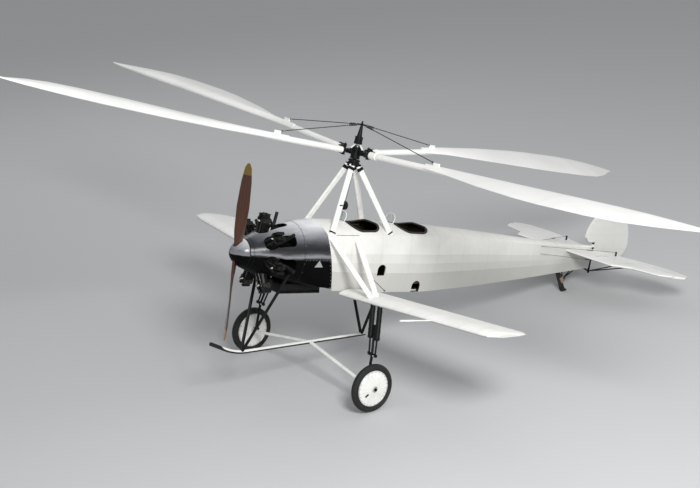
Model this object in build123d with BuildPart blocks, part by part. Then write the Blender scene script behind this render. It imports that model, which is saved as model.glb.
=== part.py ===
from build123d import *
from math import asin, atan2, cos, degrees, hypot, radians, sin, tan
import os

os.makedirs("parts", exist_ok=True)

# Two-seat autogiro of the late 1920s: a trainer's fabric-covered fuselage with an open
# seven-cylinder radial engine, low stub wings, a four-strut pylon and a free-turning
# four-blade rotor. Every piece is drawn in the rigging axes of the drawing office:
# X aft from the spinner tip, Y to starboard, Z up from the thrust line, in millimetres.
# At the end all pieces are set down together as the machine parks, on wheels and tail skid.

# Rotor
rotor_radius = 6045
shaft_tilt = 4.7
coning = 2.7
blade_angle = 5.2
blade_count = 4
hub_x = 1946
hub_z = 1473
spar_radius = 44

# Rotor head, heights along the shaft from the plane of the blades
spindle_radius = 25
hub_body_radius = 68
hub_body_bottom = -92
hub_body_top = 75
hub_neck_radius = 42
hub_neck_top = 125
hub_ring_radius = 60
hub_ring_top = 145
hub_drum_radius = 56
hub_drum_top = 226
mast_base_radius = 38
mast_tip_radius = 14
mast_top = 431
head_flange_radius = 84
head_flange_top = -104
head_flange_bottom = -158
flap_pin_reach = 150
flap_pin_radius = 14
drag_pin_reach = 245
drag_pin_radius = 14
fork_cheek = 14
fork_gap = 40
fork_height = 84
running_gap = 0.05
seat_gap = 0.3

# Pylon
pylon_foot_front_x = 1458
pylon_foot_rear_x = 2555
pylon_foot_y = 338
pylon_strut_chord = 92
pylon_strut_thickness = 36
pylon_head_spread_x = 62
pylon_head_spread_y = 48

# Fuselage
cowl_joint_top = (1348, 492)
cowl_joint_bottom = (1592, -470)
tub_rear_x = 3450
fuselage_rear_x = 7222
fuselage_wall = 24
deck_wall = 10
stringer_shares = (0.32, 0.48, 0.65)
cockpit_width = 640
cockpit_corner = 190
front_cockpit_x = (1870, 2430)
rear_cockpit_x = (2788, 3368)
floor_z = -390
floor_thickness = 18

# Power plant
spinner_length = 212
spinner_radius = 206
spinner_wall = 5
engine_x = 504
engine_cylinders = 7
crankcase_radius = 182
crankcase_waist = 176
cylinder_foot = crankcase_waist + 0.3
cylinder_barrel_radius = 66
cylinder_fin_radius = 86
cylinder_fins = 6
cylinder_head_radius = 470
engine_radius = 566
propeller_radius = 1250
propeller_x = 118
propeller_boss_radius = 88
propeller_boss_length = 60
propeller_shaft_radius = 30
cowl_wall = 6
firewall_growth = 0.2

# Wing
wing_root_y = 402
wing_root_z = -505
wing_lead_x = 1700
wing_chord = 790
wing_tip_y = 3490
wing_dihedral = 4.8
wing_thickness = 106
aileron_y = (1850, 3080)
aileron_hinge_x = 2330
aileron_gap = 7

# Undercarriage
wheel_x = 1656
wheel_half_track = 1460
wheel_z = -1559
wheel_radius = 345
tyre_radius = 52
rim_radius = 256
axle_radius = 22
skid_radius = 27
oleo_top_x = 1745
oleo_top_y = 1190
oleo_bracket = (1667, 1345, -1114)
oleo_spacing = 150

# Tail
tail_z = 45
tail_lead_x = 6560
tail_hinge_x = 7196
tail_thickness = 56
tail_tube_radius = 15
rudder_post_x = 7262
rudder_post_radius = 18
rudder_post_top = 156
rudder_post_bottom = -352
stern_socket_radius = 12
stern_socket_depth = 90
rudder_thickness = 46
tail_skid_foot = (6780, 0, -640)


# Angle by which the machine sits tail down, from the wheel's height and the skid's foot
skid_run = tail_skid_foot[0] - wheel_x
skid_rise = tail_skid_foot[2] - wheel_z
tail_down = degrees(atan2(skid_rise, skid_run) + asin(wheel_radius / hypot(skid_run, skid_rise)))


def point_between(start, end, share):
    """Point that lies a share of the way along the line from start to end."""
    return Vector(*start) + (Vector(*end) - Vector(*start)) * share


def plane_along(start, end, chordwise=(1, 0, 0)):
    """Plane at start, square to the line to end, its x axis as near to chordwise as it can be."""
    along = (Vector(*end) - Vector(*start)).normalized()
    across = Vector(*chordwise)
    across = (across - along * across.dot(along)).normalized()
    return Plane(origin=Vector(*start), x_dir=across, z_dir=along)


def add_strut(start, end, chord, thickness, chordwise=(1, 0, 0), mode=Mode.ADD):
    """Streamlined tube from start to end, an oval of the given chord and thickness."""
    with BuildSketch(plane_along(start, end, chordwise)) as oval:
        SlotOverall(chord, thickness)
    extrude(oval.sketch, amount=(Vector(*end) - Vector(*start)).length, mode=mode)


def add_rod(start, end, radius, chordwise=(1, 0, 0)):
    """Round rod or tube from start to end."""
    with BuildSketch(plane_along(start, end, chordwise)) as disc:
        Circle(radius)
    extrude(disc.sketch, amount=(Vector(*end) - Vector(*start)).length)


def seat_on(*hosts):
    """Cut a piece back to the surfaces of the finished pieces that it stands on."""
    for host in hosts:
        add(host.part, mode=Mode.SUBTRACT)


def aerofoil(plane, lead, trail, thickness, tail_share=0.06):
    """Aerofoil face: rounded nose at x = lead, thin edge at x = trail, nearly flat underside."""
    chord = lead - trail
    nose = lead - min(0.26 * thickness, 0.06 * chord)
    thickest = lead - 0.3 * chord
    crest = 0.68 * thickness
    edge = tail_share * thickness / 2
    with BuildSketch(plane) as section:
        with BuildLine():
            ThreePointArc((nose, -0.23 * thickness), (lead, 0.03 * thickness), (nose, 0.31 * thickness))
            ThreePointArc(
                (nose, 0.31 * thickness), (lead - 0.14 * chord, 0.58 * thickness), (thickest, crest)
            )
            ThreePointArc(
                (thickest, crest), ((thickest + trail) / 2, 0.47 * thickness), (trail, edge)
            )
            Line((trail, edge), (trail, -edge))
            Line((trail, -edge), (thickest, -0.32 * thickness))
            Line((thickest, -0.32 * thickness), (nose, -0.23 * thickness))
        make_face()
    return section.sketch


# Rotor axes: X aft along the disc, Y to starboard, Z up the shaft
shaft_up = Vector(sin(radians(shaft_tilt)), 0, cos(radians(shaft_tilt)))
disc_aft = Vector(cos(radians(shaft_tilt)), 0, -sin(radians(shaft_tilt)))
disc_starboard = Vector(0, 1, 0)
hub_centre = Vector(hub_x, 0, hub_z)


def head_plane(height):
    """Plane square to the rotor shaft at a height above the plane of the blades."""
    return Plane(origin=hub_centre + shaft_up * height, x_dir=disc_aft, z_dir=shaft_up)


def blade_directions(index):
    """Outward and leading directions of a blade, before coning, in the plane of the disc."""
    turn = radians(blade_angle + 360 / blade_count * index)
    outward = disc_aft * cos(turn) + disc_starboard * sin(turn)
    leading = disc_starboard * cos(turn) - disc_aft * sin(turn)
    return outward, leading


# How each blade rides in flight, with the disc tipped back and to the side. Columns: pitch of
# its chord from the plane of the disc, rise of its middle above the line from hub to tip
blade_rides = (
    (10, 135),
    (-6, 45),
    (-5, -33),
    (9, 0),
)


def blade_bow(index, radius):
    """Rise of a blade's spar above the straight line from hub to tip, as it bends in flight."""
    share = max(0, (radius - drag_pin_reach) / (rotor_radius - drag_pin_reach))
    return blade_rides[index][1] * 4 * share * (1 - share)


def blade_point(index, radius, rise=0):
    """Point on a blade's spar line at a radius, with a rise square to the coned blade."""
    outward, leading = blade_directions(index)
    cone = radians(coning)
    along = outward * cos(cone) + shaft_up * sin(cone)
    above = shaft_up * cos(cone) - outward * sin(cone)
    return hub_centre + along * radius + above * (rise + blade_bow(index, radius))


def blade_plane(index, radius):
    """Plane square to a blade's spar at a radius, x towards the leading edge, y up."""
    outward, leading = blade_directions(index)
    cone = radians(coning)
    along = outward * cos(cone) + shaft_up * sin(cone)
    above = shaft_up * cos(cone) - outward * sin(cone)
    pitch = radians(blade_rides[index][0])
    chordwise = leading * cos(pitch) + above * sin(pitch)
    return Plane(origin=blade_point(index, radius), x_dir=chordwise, z_dir=along)


finished = []


def finish(piece, name):
    """Label a finished piece and put it on the list of what is set down and written."""
    piece.part.label = name
    finished.append(piece)


# Fuselage stations, as columns: x, shoulder half width, shoulder height, crown height,
# side bulge, chine half width, chine height
body_stations = (
    (1320, 346, 336, 488, 34, 358, -449),
    (2200, 362, 345, 482, 38, 366, -500),
    (3300, 356, 332, 436, 36, 346, -512),
    (3450, 350, 326, 424, 36, 338, -508),
    (4400, 278, 276, 352, 28, 262, -466),
    (5600, 165, 176, 236, 18, 150, -392),
    (6500, 88, 118, 160, 10, 72, -322),
    (7222, 26, 78, 112, 3, 20, -262),
)


def side_points(station, inset=0):
    """Corners of one side, from the shoulder down over three stringers to the chine."""
    x, shoulder_y, shoulder_z, crown_z, bulge, chine_y, chine_z = station
    points = []
    for share in (0, *stringer_shares, 1):
        y = shoulder_y + (chine_y - shoulder_y) * share + bulge * 4 * share * (1 - share)
        z = shoulder_z + (chine_z + inset - shoulder_z) * share
        points.append((y - inset, z))
    return points


def crown_arc(station, inset=0):
    """Ends and top of the round decking above the shoulders."""
    x, shoulder_y, shoulder_z, crown_z, bulge, chine_y, chine_z = station
    return (shoulder_y - inset, shoulder_z), (0, crown_z - inset), (inset - shoulder_y, shoulder_z)


def tub_face(station, inset=0, lift=0):
    """Section of the open-topped body below the shoulders."""
    right = side_points(station, inset)
    right[0] = (right[0][0], right[0][1] + lift)
    left = [(-y, z) for y, z in reversed(right)]
    with BuildSketch(Plane.YZ.offset(station[0])) as section:
        with BuildLine():
            Polyline(*right, *left, close=True)
        make_face()
    return section.sketch


def whole_face(station):
    """Section of the closed body, with its round decking."""
    right = side_points(station)
    left = [(-y, z) for y, z in reversed(right)]
    start, top, end = crown_arc(station)
    with BuildSketch(Plane.YZ.offset(station[0])) as section:
        with BuildLine():
            Polyline(*right, *left)
            ThreePointArc(end, top, start)
        make_face()
    return section.sketch


def deck_face(station, shell):
    """Section of the decking shell over the cockpits, standing on the shoulders."""
    start, top, end = crown_arc(station)
    inner_start, inner_top, inner_end = crown_arc(station, shell)
    with BuildSketch(Plane.YZ.offset(station[0])) as section:
        with BuildLine():
            ThreePointArc(start, top, end)
            Line(end, inner_end)
            ThreePointArc(inner_end, inner_top, inner_start)
            Line(inner_start, start)
        make_face()
    return section.sketch


joint_run = cowl_joint_bottom[0] - cowl_joint_top[0]
joint_fall = cowl_joint_top[1] - cowl_joint_bottom[1]
cowl_joint = Plane(
    origin=(cowl_joint_top[0], 0, cowl_joint_top[1]), x_dir=(0, 1, 0), z_dir=(joint_fall, 0, joint_run)
)
front_stations = [station for station in body_stations if station[0] <= tub_rear_x]
rear_stations = [station for station in body_stations if station[0] >= tub_rear_x]

# Outer form of the front body, closed over, to which struts and screens are cut back
with BuildPart() as body_form:
    loft([whole_face(station) for station in front_stations], ruled=True)

# Flat belly of the front body, carried out sideways, to which the skid struts are cut back
with BuildPart() as belly_form:
    with BuildSketch(Plane.XZ) as belly:
        with BuildLine():
            belly_line = [(station[0], station[6]) for station in front_stations]
            Polyline(*belly_line, (tub_rear_x, -300), (front_stations[0][0], -300), close=True)
        make_face()
    extrude(belly.sketch, amount=600, both=True)


def inner_face(station):
    """Section of the space inside the tub and its decking."""
    right = side_points(station, fuselage_wall)
    left = [(-y, z) for y, z in reversed(right)]
    start, top, end = crown_arc(station, deck_wall)
    with BuildSketch(Plane.YZ.offset(station[0])) as section:
        with BuildLine():
            Polyline(start, *right, *left, end)
            ThreePointArc(end, top, start)
        make_face()
    return section.sketch


# Space inside the front body, which boards and floor fill from wall to wall
with BuildPart() as body_space:
    loft([inner_face(station) for station in front_stations], ruled=True)

# Front fuselage: open-topped fabric tub over longerons and stringers, with the bottom and
# sides as thick as frame and fabric together, and two foot holes in the port side
step_width = 160
step_height = 168
step_places = ((2435, -167), (3169, -425))

with BuildPart() as fuselage_front:
    loft([tub_face(station) for station in front_stations], ruled=True)
    with BuildPart(mode=Mode.PRIVATE) as tub_hollow:
        loft([tub_face(station, fuselage_wall, 40) for station in front_stations], ruled=True)
    add(tub_hollow.part, mode=Mode.SUBTRACT)
    for step_x, step_z in step_places:
        with BuildSketch(Plane.XZ.offset(wing_root_y - 110)) as step:
            with BuildLine():
                half = step_width / 2
                foot = step_z - step_height / 2
                knee = step_z + step_height / 2 - half
                Line((step_x - half, foot), (step_x + half, foot))
                Line((step_x + half, foot), (step_x + half, knee))
                ThreePointArc((step_x + half, knee), (step_x, knee + half), (step_x - half, knee))
                Line((step_x - half, knee), (step_x - half, foot))
            make_face()
        extrude(step.sketch, amount=160, mode=Mode.SUBTRACT)
    split(bisect_by=cowl_joint, keep=Keep.TOP)
finish(fuselage_front, "fuselage_front")

# Top decking: thin rounded shell over the shoulders with the two cockpit openings
with BuildPart() as top_decking:
    loft([deck_face(station, deck_wall) for station in front_stations], ruled=True)
    for start_x, end_x in (front_cockpit_x, rear_cockpit_x):
        with BuildSketch(Plane.XY.offset(300)) as opening:
            with Locations(((start_x + end_x) / 2, 0)):
                RectangleRounded(end_x - start_x, cockpit_width, cockpit_corner)
        extrude(opening.sketch, amount=300, mode=Mode.SUBTRACT)
    split(bisect_by=cowl_joint, keep=Keep.TOP)
finish(top_decking, "top_decking")

# Rear fuselage: closed taper to the stern post, solid because nothing opens into it
with BuildPart() as fuselage_rear:
    loft([whole_face(station) for station in rear_stations], ruled=True)
    with BuildSketch(Plane.XZ) as tube_hole:
        with Locations((tail_hinge_x, tail_z)):
            Circle(tail_tube_radius + 6)
    extrude(tube_hole.sketch, amount=60, both=True, mode=Mode.SUBTRACT)
finish(fuselage_rear, "fuselage_rear")

# Cockpit floor, laid across the tub
with BuildPart() as cockpit_floor:
    with BuildSketch(Plane.XY.offset(floor_z)) as boards:
        with Locations((2510, 0)):
            Rectangle(1700, 800)
    extrude(boards.sketch, amount=floor_thickness)
    add(body_space.part, mode=Mode.INTERSECT)
finish(cockpit_floor, "cockpit_floor")

# Seats: bucket with a pan, side walls and a leaning back, of bent sheet, open in front
seat_width = 420
seat_depth = 380
seat_back_height = 470
seat_side_height = 190
seat_sheet = 16
with BuildPart() as seats:
    base_z = floor_z + floor_thickness
    pan_z = base_z + 130
    for seat_x in (front_cockpit_x[1] + 20, rear_cockpit_x[1] + 20):
        with BuildSketch(Plane.XZ.offset(seat_width / 2)) as profile:
            with BuildLine():
                Polyline(
                    (seat_x - seat_depth, base_z),
                    (seat_x - seat_depth, pan_z + seat_side_height * 0.55),
                    (seat_x - 60, pan_z + seat_side_height),
                    (seat_x - 10, pan_z + seat_back_height),
                    (seat_x + 24, pan_z + seat_back_height),
                    (seat_x, base_z),
                    close=True,
                )
            make_face()
        extrude(profile.sketch, amount=-seat_width)
        with BuildSketch(Plane.XZ.offset(seat_width / 2 - seat_sheet)) as hollow:
            with BuildLine():
                Polyline(
                    (seat_x - seat_depth - 40, pan_z),
                    (seat_x - 50, pan_z - 20),
                    (seat_x - 16, pan_z + seat_back_height + 40),
                    (seat_x - seat_depth - 40, pan_z + seat_back_height + 40),
                    close=True,
                )
            make_face()
        extrude(hollow.sketch, amount=-(seat_width - 2 * seat_sheet), mode=Mode.SUBTRACT)
finish(seats, "seats")

# Instrument boards: one across each cockpit, hanging from the decking, with round dials
panel_bottom = 140
panel_setback = 14
with BuildPart() as instrument_panels:
    for cockpit_x in (front_cockpit_x, rear_cockpit_x):
        with BuildSketch(Plane.YZ.offset(cockpit_x[0] - panel_setback)) as board:
            with Locations((0, panel_bottom)):
                Rectangle(900, 500, align=(Align.CENTER, Align.MIN))
        extrude(board.sketch, amount=-14)
    add(body_space.part, mode=Mode.INTERSECT)
    for cockpit_x in (front_cockpit_x, rear_cockpit_x):
        with BuildSketch(Plane.YZ.offset(cockpit_x[0] - panel_setback)) as dials:
            with Locations((0, panel_bottom + 100)):
                with GridLocations(150, 60, 4, 1):
                    Circle(46)
        extrude(dials.sketch, amount=8)
finish(instrument_panels, "instrument_panels")

# Control columns: a stick on the floor in front of each seat
with BuildPart() as control_columns:
    for cockpit_x in (front_cockpit_x, rear_cockpit_x):
        stick_x = cockpit_x[0] + 150
        stick_foot = (stick_x, 0, floor_z + floor_thickness + 10)
        stick_knee = (stick_x - 20, 0, floor_z + 330)
        stick_top = (stick_x + 10, 0, floor_z + 560)
        with Locations(Location((stick_x, 0, floor_z + floor_thickness))):
            Cylinder(40, 50, align=(Align.CENTER, Align.CENTER, Align.MIN))
        add_rod(stick_foot, stick_knee, 14)
        add_rod(stick_knee, stick_top, 14)
        with Locations(Location(stick_knee)):
            Sphere(14.5)
finish(control_columns, "control_columns")

# Cockpit coamings: padded leather roll round each opening, as a ring on the decking
coaming_radius = 22


def crown_height(x):
    """Height of the decking's crown at x, read between the stations."""
    for before, after in zip(body_stations, body_stations[1:]):
        if before[0] <= x <= after[0]:
            share = (x - before[0]) / (after[0] - before[0])
            return before[3] + (after[3] - before[3]) * share
    return body_stations[-1][3]


with BuildPart() as coamings:
    loft([deck_face((x, sy, sz, cz + 26, b, cy, chz), 42)
          for x, sy, sz, cz, b, cy, chz in front_stations], ruled=True)
    with BuildSketch(Plane.XY.offset(250)) as outer:
        for start_x, end_x in (front_cockpit_x, rear_cockpit_x):
            with Locations(((start_x + end_x) / 2, 0)):
                RectangleRounded(end_x - start_x - 1, cockpit_width - 1, cockpit_corner - 1)
    extrude(outer.sketch, amount=400, mode=Mode.INTERSECT)
    with BuildSketch(Plane.XY.offset(250)) as inner:
        for start_x, end_x in (front_cockpit_x, rear_cockpit_x):
            with Locations(((start_x + end_x) / 2, 0)):
                RectangleRounded(
                    end_x - start_x - 2 * coaming_radius,
                    cockpit_width - 2 * coaming_radius,
                    cockpit_corner - coaming_radius,
                )
    extrude(inner.sketch, amount=400, mode=Mode.SUBTRACT)
finish(coamings, "coamings")

# Windscreens: small round-topped pane in front of each cockpit, raked aft
screen_half_width = 105
screen_height = 150
with BuildPart() as windscreens:
    for cockpit_x in (front_cockpit_x, rear_cockpit_x):
        screen_x = cockpit_x[0] - 46
        screen_plane = Plane(
            origin=(screen_x, 0, crown_height(screen_x) - 30),
            x_dir=(0, 1, 0),
            z_dir=(cos(radians(22)), 0, -sin(radians(22))),
        )
        shoulder = screen_height * 0.55
        with BuildSketch(screen_plane) as pane:
            with BuildLine():
                Polyline(
                    (-screen_half_width, shoulder), (-screen_half_width, 0),
                    (screen_half_width, 0), (screen_half_width, shoulder),
                )
                ThreePointArc(
                    (screen_half_width, shoulder), (0, screen_height + 30), (-screen_half_width, shoulder)
                )
            make_face()
        extrude(pane.sketch, amount=6)
    seat_on(body_form)
finish(windscreens, "windscreens")

# Cowl stations, as columns: x, corner half width, upper corner height, crown height,
# side half width, lower corner height, keel height
nose_cowl_stations = (
    (216, 147, 147, 208, 208, -147, -208),
    (450, 222, 222, 314, 314, -222, -310),
    (700, 272, 272, 386, 385, -272, -370),
    (990, 302, 306, 448, 399, -322, -420),
)
rear_cowl_stations = (
    (990, 302, 306, 448, 399, -322, -420),
    (1130, 318, 320, 474, 404, -362, -440),
    (1330, 340, 332, 488, 400, -408, -456),
    (1620, 352, 338, 490, 400, -440, -480),
)


def cowl_face(station, inset=0):
    """Section of the cowl: four arcs that swell between the corners."""
    x, corner_y, upper_z, crown_z, side_y, lower_z, keel_z = station
    corner_y = corner_y - inset * 0.7
    upper_z = upper_z - inset * 0.7
    lower_z = lower_z + inset * 0.7
    middle = (upper_z + lower_z) / 2
    with BuildSketch(Plane.YZ.offset(x)) as section:
        with BuildLine():
            ThreePointArc((corner_y, upper_z), (0, crown_z - inset), (-corner_y, upper_z))
            ThreePointArc((-corner_y, upper_z), (inset - side_y, middle), (-corner_y, lower_z))
            ThreePointArc((-corner_y, lower_z), (0, keel_z + inset), (corner_y, lower_z))
            ThreePointArc((corner_y, lower_z), (side_y - inset, middle), (corner_y, upper_z))
        make_face()
    return section.sketch


def cylinder_angle(index):
    """Angle of an engine cylinder from straight up, towards starboard."""
    return 360 / engine_cylinders * index


def radial_direction(angle):
    """Direction square to the thrust line at an angle from straight up."""
    return Vector(0, sin(radians(angle)), cos(radians(angle)))


def cylinder_plane(index, height):
    """Plane square to an engine cylinder at a height above the crankshaft."""
    outward = radial_direction(cylinder_angle(index))
    return Plane(origin=Vector(engine_x, 0, 0) + outward * height, x_dir=(1, 0, 0), z_dir=outward)


# Nose cowl: polished shell from the spinner back to the cylinders, cut out round each one
cowl_clearance = 16
recess_length = 470
recess_width = 172
with BuildPart() as nose_cowl:
    loft([cowl_face(station) for station in nose_cowl_stations], ruled=True)
    with BuildPart(mode=Mode.PRIVATE) as nose_hollow:
        loft([cowl_face(station, cowl_wall) for station in nose_cowl_stations], ruled=True)
    add(nose_hollow.part, mode=Mode.SUBTRACT)
    for index in range(engine_cylinders):
        with BuildSketch(cylinder_plane(index, 150)) as notch:
            Circle(cylinder_fin_radius + cowl_clearance)
            with Locations((recess_length / 2 - 100, 0)):
                RectangleRounded(recess_length, recess_width, 60)
        extrude(notch.sketch, amount=400, mode=Mode.SUBTRACT)
finish(nose_cowl, "nose_cowl")

# Engine cowl: polished shell from the cylinders back to the fabric
with BuildPart() as engine_cowl:
    loft([cowl_face(station) for station in rear_cowl_stations], ruled=True)
    with BuildPart(mode=Mode.PRIVATE) as rear_hollow:
        loft([cowl_face(station, cowl_wall) for station in rear_cowl_stations], ruled=True)
    add(rear_hollow.part, mode=Mode.SUBTRACT)
    split(bisect_by=cowl_joint, keep=Keep.BOTTOM)
finish(engine_cowl, "engine_cowl")

# Outer form of the whole cowl, to which the skid struts are cut back
with BuildPart() as cowl_form:
    loft([cowl_face(station) for station in nose_cowl_stations], ruled=True)
    loft([cowl_face(station) for station in rear_cowl_stations], ruled=True)

# Oil cooler: shallow black tank under the cowl with deep cooling fins across it
cooler_front_x = 810
cooler_rear_x = 1540
cooler_width = 330
cooler_bottom = -545
cooler_fins = 9
with BuildPart() as oil_cooler:
    with BuildSketch(Plane.XY.offset(cooler_bottom)) as tank:
        with Locations(((cooler_front_x + cooler_rear_x) / 2, 0)):
            Rectangle(cooler_rear_x - cooler_front_x, cooler_width)
    extrude(tank.sketch, amount=200)
    fin_step = (cooler_rear_x - cooler_front_x - 40) / (cooler_fins - 1)
    for number in range(cooler_fins):
        with Locations(Location((cooler_front_x + 20 + fin_step * number, 0, cooler_bottom))):
            Box(14, cooler_width + 24, 60)
    add(cowl_form.part, mode=Mode.SUBTRACT)
finish(oil_cooler, "oil_cooler")

# Firewall: plate across the front of the rear cowl, with the engine mount ring on it
firewall_x = 1010
crankcase_rear = engine_x + 245
with BuildPart() as firewall:
    firewall_face = cowl_face((firewall_x, *rear_cowl_stations[0][1:]), cowl_wall - firewall_growth)
    extrude(firewall_face, amount=8)
    with BuildSketch(Plane.YZ.offset(crankcase_rear)) as mount:
        Circle(crankcase_radius - 30)
        Circle(crankcase_radius - 70, mode=Mode.SUBTRACT)
    extrude(mount.sketch, amount=firewall_x - crankcase_rear)
finish(firewall, "firewall")

# Crankcase: drum of the engine with its nose case and the induction drum behind
with BuildPart() as crankcase:
    with BuildSketch(Plane.XZ) as half_section:
        with BuildLine():
            Polyline(
                (230, 0),
                (230, 62),
                (300, 84),
                (engine_x - 110, crankcase_radius - 30),
                (engine_x - 88, crankcase_waist),
                (engine_x + 88, crankcase_waist),
                (engine_x + 110, crankcase_radius),
                (crankcase_rear, crankcase_radius - 12),
                (crankcase_rear, 0),
                close=True,
            )
        make_face()
    revolve(half_section.sketch, axis=Axis.X)
    add_rod((230, 0, 0), (40, 0, 0), propeller_shaft_radius, chordwise=(0, 0, 1))
finish(crankcase, "crankcase")

# Engine cylinders: finned barrel and head, twin rocker boxes and twin push-rod tubes
fin_pitch = (cylinder_head_radius - cylinder_foot - 40) / (cylinder_fins + 1)
with BuildPart() as engine_cylinders_part:
    for index in range(engine_cylinders):
        outward = radial_direction(cylinder_angle(index))
        profile_plane = Plane(
            origin=(engine_x, 0, 0),
            x_dir=(1, 0, 0),
            z_dir=Vector(1, 0, 0).cross(outward),
        )
        with BuildSketch(profile_plane) as barrel:
            with BuildLine():
                outline = [(0, cylinder_foot), (cylinder_barrel_radius, cylinder_foot)]
                for fin in range(cylinder_fins):
                    low = cylinder_foot + 40 + fin_pitch * fin
                    outline.append((cylinder_barrel_radius, low))
                    outline.append((cylinder_fin_radius, low + 8))
                    outline.append((cylinder_barrel_radius, low + 16))
                outline.append((cylinder_barrel_radius, cylinder_head_radius - 34))
                outline.append((cylinder_fin_radius + 6, cylinder_head_radius - 26))
                outline.append((cylinder_fin_radius + 6, cylinder_head_radius + 8))
                outline.append((cylinder_barrel_radius, cylinder_head_radius + 34))
                outline.append((0, cylinder_head_radius + 34))
                Polyline(*outline, close=True)
            make_face()
        revolve(barrel.sketch, axis=Axis((engine_x, 0, 0), outward))
        with BuildSketch(cylinder_plane(index, cylinder_head_radius)) as rockers:
            with GridLocations(0, 74, 1, 2):
                RectangleRounded(130, 44, 16)
        extrude(rockers.sketch, amount=engine_radius - cylinder_head_radius)
        sideways = Vector(1, 0, 0).cross(outward)
        for side in (-1, 1):
            rod_foot = Vector(engine_x - 100, 0, 0) + outward * 186 + sideways * (side * 30)
            rod_top = Vector(engine_x - 58, 0, 0) + outward * 505 + sideways * (side * 37)
            add_rod(rod_foot, rod_top, 9, chordwise=(0, 0.4, 0.6))
finish(engine_cylinders_part, "engine_cylinders")

# Exhaust stacks: a short curved pipe rises behind each cylinder head, and the two lowest
# end as straight stubs in front of the skid struts
stack_radius = 23
stack_rise = 196
stub_length = 76
with BuildPart() as exhaust_stacks:
    for index in range(engine_cylinders):
        outward = radial_direction(cylinder_angle(index))
        start = Vector(engine_x + 55, 0, 0) + outward * (cylinder_head_radius - 84)
        bend = start + Vector(118, 0, 0)
        top = bend + outward * stack_rise + Vector(30, 0, 0)
        with BuildLine() as route:
            if outward.Z < -0.8:
                Line(start, start + Vector(stub_length, 0, 0))
            else:
                FilletPolyline(start, bend, top, radius=60)
        with BuildSketch(Plane(origin=start, x_dir=outward, z_dir=(1, 0, 0))) as pipe:
            Circle(stack_radius)
        sweep(pipe.sketch, path=route.line)
    seat_on(engine_cylinders_part)
finish(exhaust_stacks, "exhaust_stacks")

# Spinner: pointed shell over the propeller boss, slotted for the two blades
with BuildPart() as spinner:
    with BuildSketch(Plane.XZ) as outside:
        with BuildLine():
            ThreePointArc(
                (0, 0), (spinner_length * 0.45, spinner_radius * 0.66), (spinner_length, spinner_radius)
            )
            Polyline((spinner_length, spinner_radius), (spinner_length, 0), (0, 0))
        make_face()
    revolve(outside.sketch, axis=Axis.X)
    with BuildSketch(Plane.XZ) as inside:
        with BuildLine():
            back = spinner_length - 6
            rim = spinner_radius - spinner_wall - 2
            ThreePointArc((14, 0), (back * 0.5, rim * 0.63), (back, rim))
            Polyline((back, rim), (back, 0), (14, 0))
        make_face()
    revolve(inside.sketch, axis=Axis.X, mode=Mode.SUBTRACT)
    with BuildSketch(Plane.YZ.offset(spinner_length - 20)) as boss_hole:
        Circle(propeller_boss_radius + seat_gap)
    extrude(boss_hole.sketch, amount=30, mode=Mode.SUBTRACT)
    with BuildSketch(Plane.XY) as slot:
        with Locations((propeller_x, 0)):
            RectangleRounded(124, 96, 40)
    extrude(slot.sketch, amount=300, both=True, mode=Mode.SUBTRACT)
finish(spinner, "spinner")

# Propeller: two-blade wooden screw, its boss on the engine shaft
propeller_stations = (
    (80, 92, 54, 62),
    (300, 150, 40, 46),
    (650, 190, 26, 30),
    (1000, 165, 18, 22),
    (1190, 110, 12, 18),
    (1250, 40, 8, 17),
)
with BuildPart() as propeller:
    boss_front = propeller_x - propeller_boss_length / 2
    with BuildSketch(Plane.YZ.offset(boss_front)) as boss:
        Circle(propeller_boss_radius)
    extrude(boss.sketch, amount=spinner_length - boss_front)
    for side in (-1, 1):
        sections = []
        for radius, chord, thickness, pitch in propeller_stations:
            turn = radians(pitch)
            station_plane = Plane(
                origin=(propeller_x, 0, side * radius),
                x_dir=(-sin(turn), side * cos(turn), 0),
                z_dir=(0, 0, side),
            )
            sections.append(aerofoil(station_plane, chord * 0.5, -chord * 0.5, thickness, 0.3))
        loft(sections, ruled=True)
    with BuildSketch(Plane.YZ) as bore:
        Circle(propeller_shaft_radius + running_gap)
    extrude(bore.sketch, amount=400, both=True, mode=Mode.SUBTRACT)
finish(propeller, "propeller")

# Rotor head base: flanged housing on the pylon with the fixed spindle and four strut lugs
with BuildPart() as pylon_head:
    with BuildSketch(head_plane(head_flange_bottom)) as lower_flange:
        Circle(head_flange_radius)
    extrude(lower_flange.sketch, amount=14)
    with BuildSketch(head_plane(head_flange_bottom + 14)) as waist:
        Circle(head_flange_radius - 12)
    extrude(waist.sketch, amount=12)
    with BuildSketch(head_plane(head_flange_bottom + 26)) as upper_flange:
        Circle(head_flange_radius)
    extrude(upper_flange.sketch, amount=head_flange_top - head_flange_bottom - 26)
    with BuildSketch(head_plane(head_flange_top)) as spindle:
        Circle(spindle_radius)
    extrude(spindle.sketch, amount=hub_neck_top - head_flange_top - 30)
    with BuildSketch(head_plane(head_flange_bottom - 40)) as lugs:
        Rectangle(2 * pylon_head_spread_x + 60, 2 * pylon_head_spread_y + 40)
    extrude(lugs.sketch, amount=40)
finish(pylon_head, "pylon_head")

# Pylon: two pairs of streamlined struts from the shoulders to the rotor head
head_foot = hub_centre + shaft_up * (head_flange_bottom - 6)
with BuildPart() as pylon_struts:
    for foot_x, spread in (
        (pylon_foot_front_x, -pylon_head_spread_x),
        (pylon_foot_rear_x, pylon_head_spread_x),
    ):
        for side in (-1, 1):
            foot = (foot_x, side * pylon_foot_y, 334)
            top = head_foot + disc_aft * spread + Vector(0, side * pylon_head_spread_y, -22)
            add_strut(foot, top, pylon_strut_chord, pylon_strut_thickness)
    seat_on(body_form, pylon_head)
finish(pylon_struts, "pylon_struts")

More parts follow.
